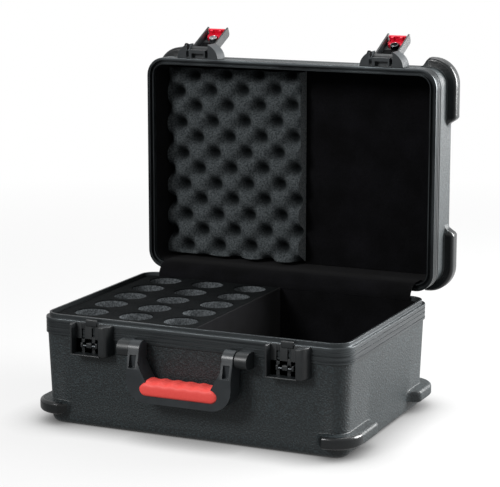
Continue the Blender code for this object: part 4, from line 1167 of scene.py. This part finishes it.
def lock(side, core):
    """A key cylinder: a profile of radius and height turned about the lock's axis, with a bright rim round a
    sunk face."""
    _, tipward, out = turned_frame(side)
    low, high = corners(f"lock_cylinder_{side}")
    middle = (low + high) / 2
    inner = lock_radius - lock_ring
    profile = np.array([(lock_hub, -lock_half), (lock_radius, -lock_half),
                        (lock_radius, lock_half - lock_round), (lock_radius - lock_round, lock_half),
                        (inner + lock_ring_round, lock_half),
                        (inner, lock_half - lock_ring_round), (inner, lock_half - lock_recess),
                        (lock_hub, lock_half - lock_recess)])
    turn = np.linspace(0, 2 * math.pi, 49)[:-1]
    around = np.cos(turn)[:, None] * np.array([1, 0, 0]) + np.sin(turn)[:, None] * tipward
    rows = middle + profile[:, 1, None, None] * out + profile[:, 0, None, None] * around[None]
    made = piece(f"lock_barrel_{side}", [grid(rows, capped=True)], core, f"cylinder_{side}",
                 [f"lock_cylinder_{side}"], angle=30)

    def on_rim(x, y, z):
        """True on the rim: at the top, and as far out as the ring, measured from the lock's axis."""
        reach = np.stack([x, y, z], axis=1) - middle
        above = reach @ out
        far = np.linalg.norm(reach - above[:, None] * out, axis=1)
        return (above > lock_half - lock_recess * bright_shares[0]) & (far > inner * bright_shares[1])

    return painted(made, steel_look, on_rim)


def link(side):
    """The over-centre link on the lever's channel floor: two flat black bars with a bright seam between them,
    from near the pivot to the lock."""
    pivot, tipward, out = turned_frame(side)
    parts = []
    for low, high in ((-link_half, -link_seam / 2), (link_seam / 2, link_half)):
        rings = []
        for inset, rise in ((0, 0), (0, link_rise - link_edge), (link_edge, link_rise)):
            x0, x1 = low + inset, high - inset
            y0, y1 = link_start + inset, link_end - inset
            plan_corners = np.array([(x0, y0), (x1, y0), (x1, y1), (x0, y1)])
            rings.append(plan_corners[:, :1] * np.array([1, 0, 0]) + plan_corners[:, 1:] * tipward
                         + (link_floor + rise) * out)
        parts.append(grid(pivot + np.stack(rings), capped=True))
    return piece(f"latch_link_{side}", parts, black_look, f"latch_{side}", angle=30)


# Acetal, moulded in colour, has a soft gloss: a clear red here, and a dull black that reflects little.
red_look = moulded("red acetal", slide_colour, slide_light, 0.48)
black_look = moulded("black acetal", black_colour, black_light, 0.6, 1.12)
for side in ("left", "right"):
    dressed(f"latch_housing_{side}", nylon_look, 0.0009)
    dressed(f"latch_cam_{side}", black_look, 0.0008)
    dressed(f"latch_lever_{side}", dark_nylon_look, 0.0007)
    dressed(f"latch_pin_{side}", steel_look, 0.0002, 1)
    dressed(f"lock_slide_{side}", red_look, 0)
    lock(side, steel_look if side == "left" else black_look)
    link(side)


# Studio: a pale floor that runs to white, soft lamps at the right and above, and the camera fitted to the
# photograph.

floor_reach = 12
floor_near = 0.9
floor_far = 2.2
floor_matt = 0.2
contact_reach = 0.065
contact_power = 1.3
sweep_way = (0.5, 0.85, 0)
sweep_span = (-0.6, 0.9)
sweep_dim = 0.1
sky_in_gloss = 0.7
sky_light = 0.3
camera_lens = 138.15
camera_place = (1.13238, -2.45098, 0.77314)
camera_drop = 0.1916
camera_turn = 0.4266


def floor():
    """A wide floor: white far off, and near the case it takes the case's shadow. The soft contact shadow is
    the share of the sky that the case hides from the floor within contact_reach. In reflections the floor is
    bright behind the case and dim in front, as a sweep lit from behind is."""
    mesh = bpy.data.meshes.new("studio_floor")
    signs = ((-1, -1), (1, -1), (1, 1), (-1, 1))
    mesh.from_pydata([(floor_reach * x, floor_reach * y, 0) for x, y in signs], [], [(0, 1, 2, 3)])
    material = bpy.data.materials.new("white studio floor")
    material.use_nodes = True
    tree = material.node_tree
    tree.nodes.clear()
    rays = add(tree, "ShaderNodeLightPath")
    place = add(tree, "ShaderNodeTexCoord").outputs["Object"]
    away = add(tree, "ShaderNodeVectorMath", {0: place}, operation="LENGTH")
    white = add(tree, "ShaderNodeMapRange", {"Value": away.outputs["Value"], "From Min": floor_near,
                                            "From Max": floor_far, "To Min": 1 - floor_matt, "To Max": 1.0})
    depth = add(tree, "ShaderNodeVectorMath", {0: place, 1: sweep_way}, operation="DOT_PRODUCT")
    sweep = add(tree, "ShaderNodeMapRange", {"Value": depth.outputs["Value"], "From Min": sweep_span[0],
                                            "From Max": sweep_span[1], "To Min": sweep_dim, "To Max": 1.0})
    seen = add(tree, "ShaderNodeMath", {0: sweep.outputs["Result"], 1: rays.outputs["Is Glossy Ray"]},
               operation="MULTIPLY")
    open_sky = add(tree, "ShaderNodeAmbientOcclusion", {"Distance": contact_reach}, samples=16)
    contact = add(tree, "ShaderNodeMath", {0: open_sky.outputs["AO"], 1: contact_power}, operation="POWER")
    direct = add(tree, "ShaderNodeMath", {0: contact.outputs[0], 1: rays.outputs["Is Camera Ray"]},
                 operation="MULTIPLY")
    glowing = add(tree, "ShaderNodeMath", {0: seen.outputs[0], 1: direct.outputs[0]}, operation="MAXIMUM")
    matt = add(tree, "ShaderNodeBsdfDiffuse", {"Color": linear("#c8c8c8")})
    glow = add(tree, "ShaderNodeEmission", {"Color": linear("#ffffff"), "Strength": glowing.outputs[0]})
    mixed = add(tree, "ShaderNodeMixShader", {0: white.outputs["Result"], 1: matt.outputs[0],
                                              2: glow.outputs[0]})
    add(tree, "ShaderNodeOutputMaterial", {"Surface": mixed.outputs[0]})
    mesh.materials.append(material)
    made = bpy.data.objects.new("studio_floor", mesh)
    bpy.context.scene.collection.objects.link(made)


def sky():
    """White to the camera, paler in reflections, and a softer grey light for everything else."""
    world = bpy.data.worlds.new("studio")
    world.use_nodes = True
    tree = world.node_tree
    tree.nodes.clear()
    rays = add(tree, "ShaderNodeLightPath")
    seen = add(tree, "ShaderNodeMath", {0: rays.outputs["Is Camera Ray"],
                                        1: rays.outputs["Is Transmission Ray"]}, operation="MAXIMUM")
    bright = add(tree, "ShaderNodeMath", {0: rays.outputs["Is Glossy Ray"], 1: sky_in_gloss},
                 operation="MULTIPLY")
    both = add(tree, "ShaderNodeMath", {0: seen.outputs[0], 1: bright.outputs[0]}, operation="MAXIMUM")
    strength = add(tree, "ShaderNodeMath", {0: both.outputs[0], 1: sky_light}, operation="MAXIMUM")
    light = add(tree, "ShaderNodeBackground", {"Color": linear("#ffffff"), "Strength": strength.outputs[0]})
    add(tree, "ShaderNodeOutputWorld", {"Surface": light.outputs[0]})
    bpy.context.scene.world = world


def lamp(name, place, aim, size, power):
    """A square soft lamp turned towards a point."""
    light = bpy.data.lights.new(name, "AREA")
    light.size = size
    light.energy = power
    made = bpy.data.objects.new(name, light)
    bpy.context.scene.collection.objects.link(made)
    made.location = place
    back = np.array(place) - np.array(aim)
    tilt = math.acos(back[2] / np.linalg.norm(back))
    made.rotation_euler = (tilt, 0, math.atan2(back[1], back[0]) + math.pi / 2)


floor()
sky()
lamp("key_right", (1.15, 0.85, 0.75), (0.2, 0, 0.25), 0.9, 64)
lamp("fill_front", (-1.15, -2.7, 1.9), (0, 0, 0.2), 0.9, 66)
lamp("top", (0.2, 0.7, 2.4), (0, 0, 0.1), 1.6, 30)

camera = bpy.data.cameras.new("photograph camera")
camera.sensor_fit = "HORIZONTAL"
camera.sensor_width = 36
camera.lens = camera_lens
camera.clip_end = 50
viewer = bpy.data.objects.new("photograph camera", camera)
bpy.context.scene.collection.objects.link(viewer)
viewer.location = camera_place
viewer.rotation_euler = (math.pi / 2 - camera_drop, 0, camera_turn)
bpy.context.scene.camera = viewer
bpy.context.scene.view_settings.view_transform = "Standard"
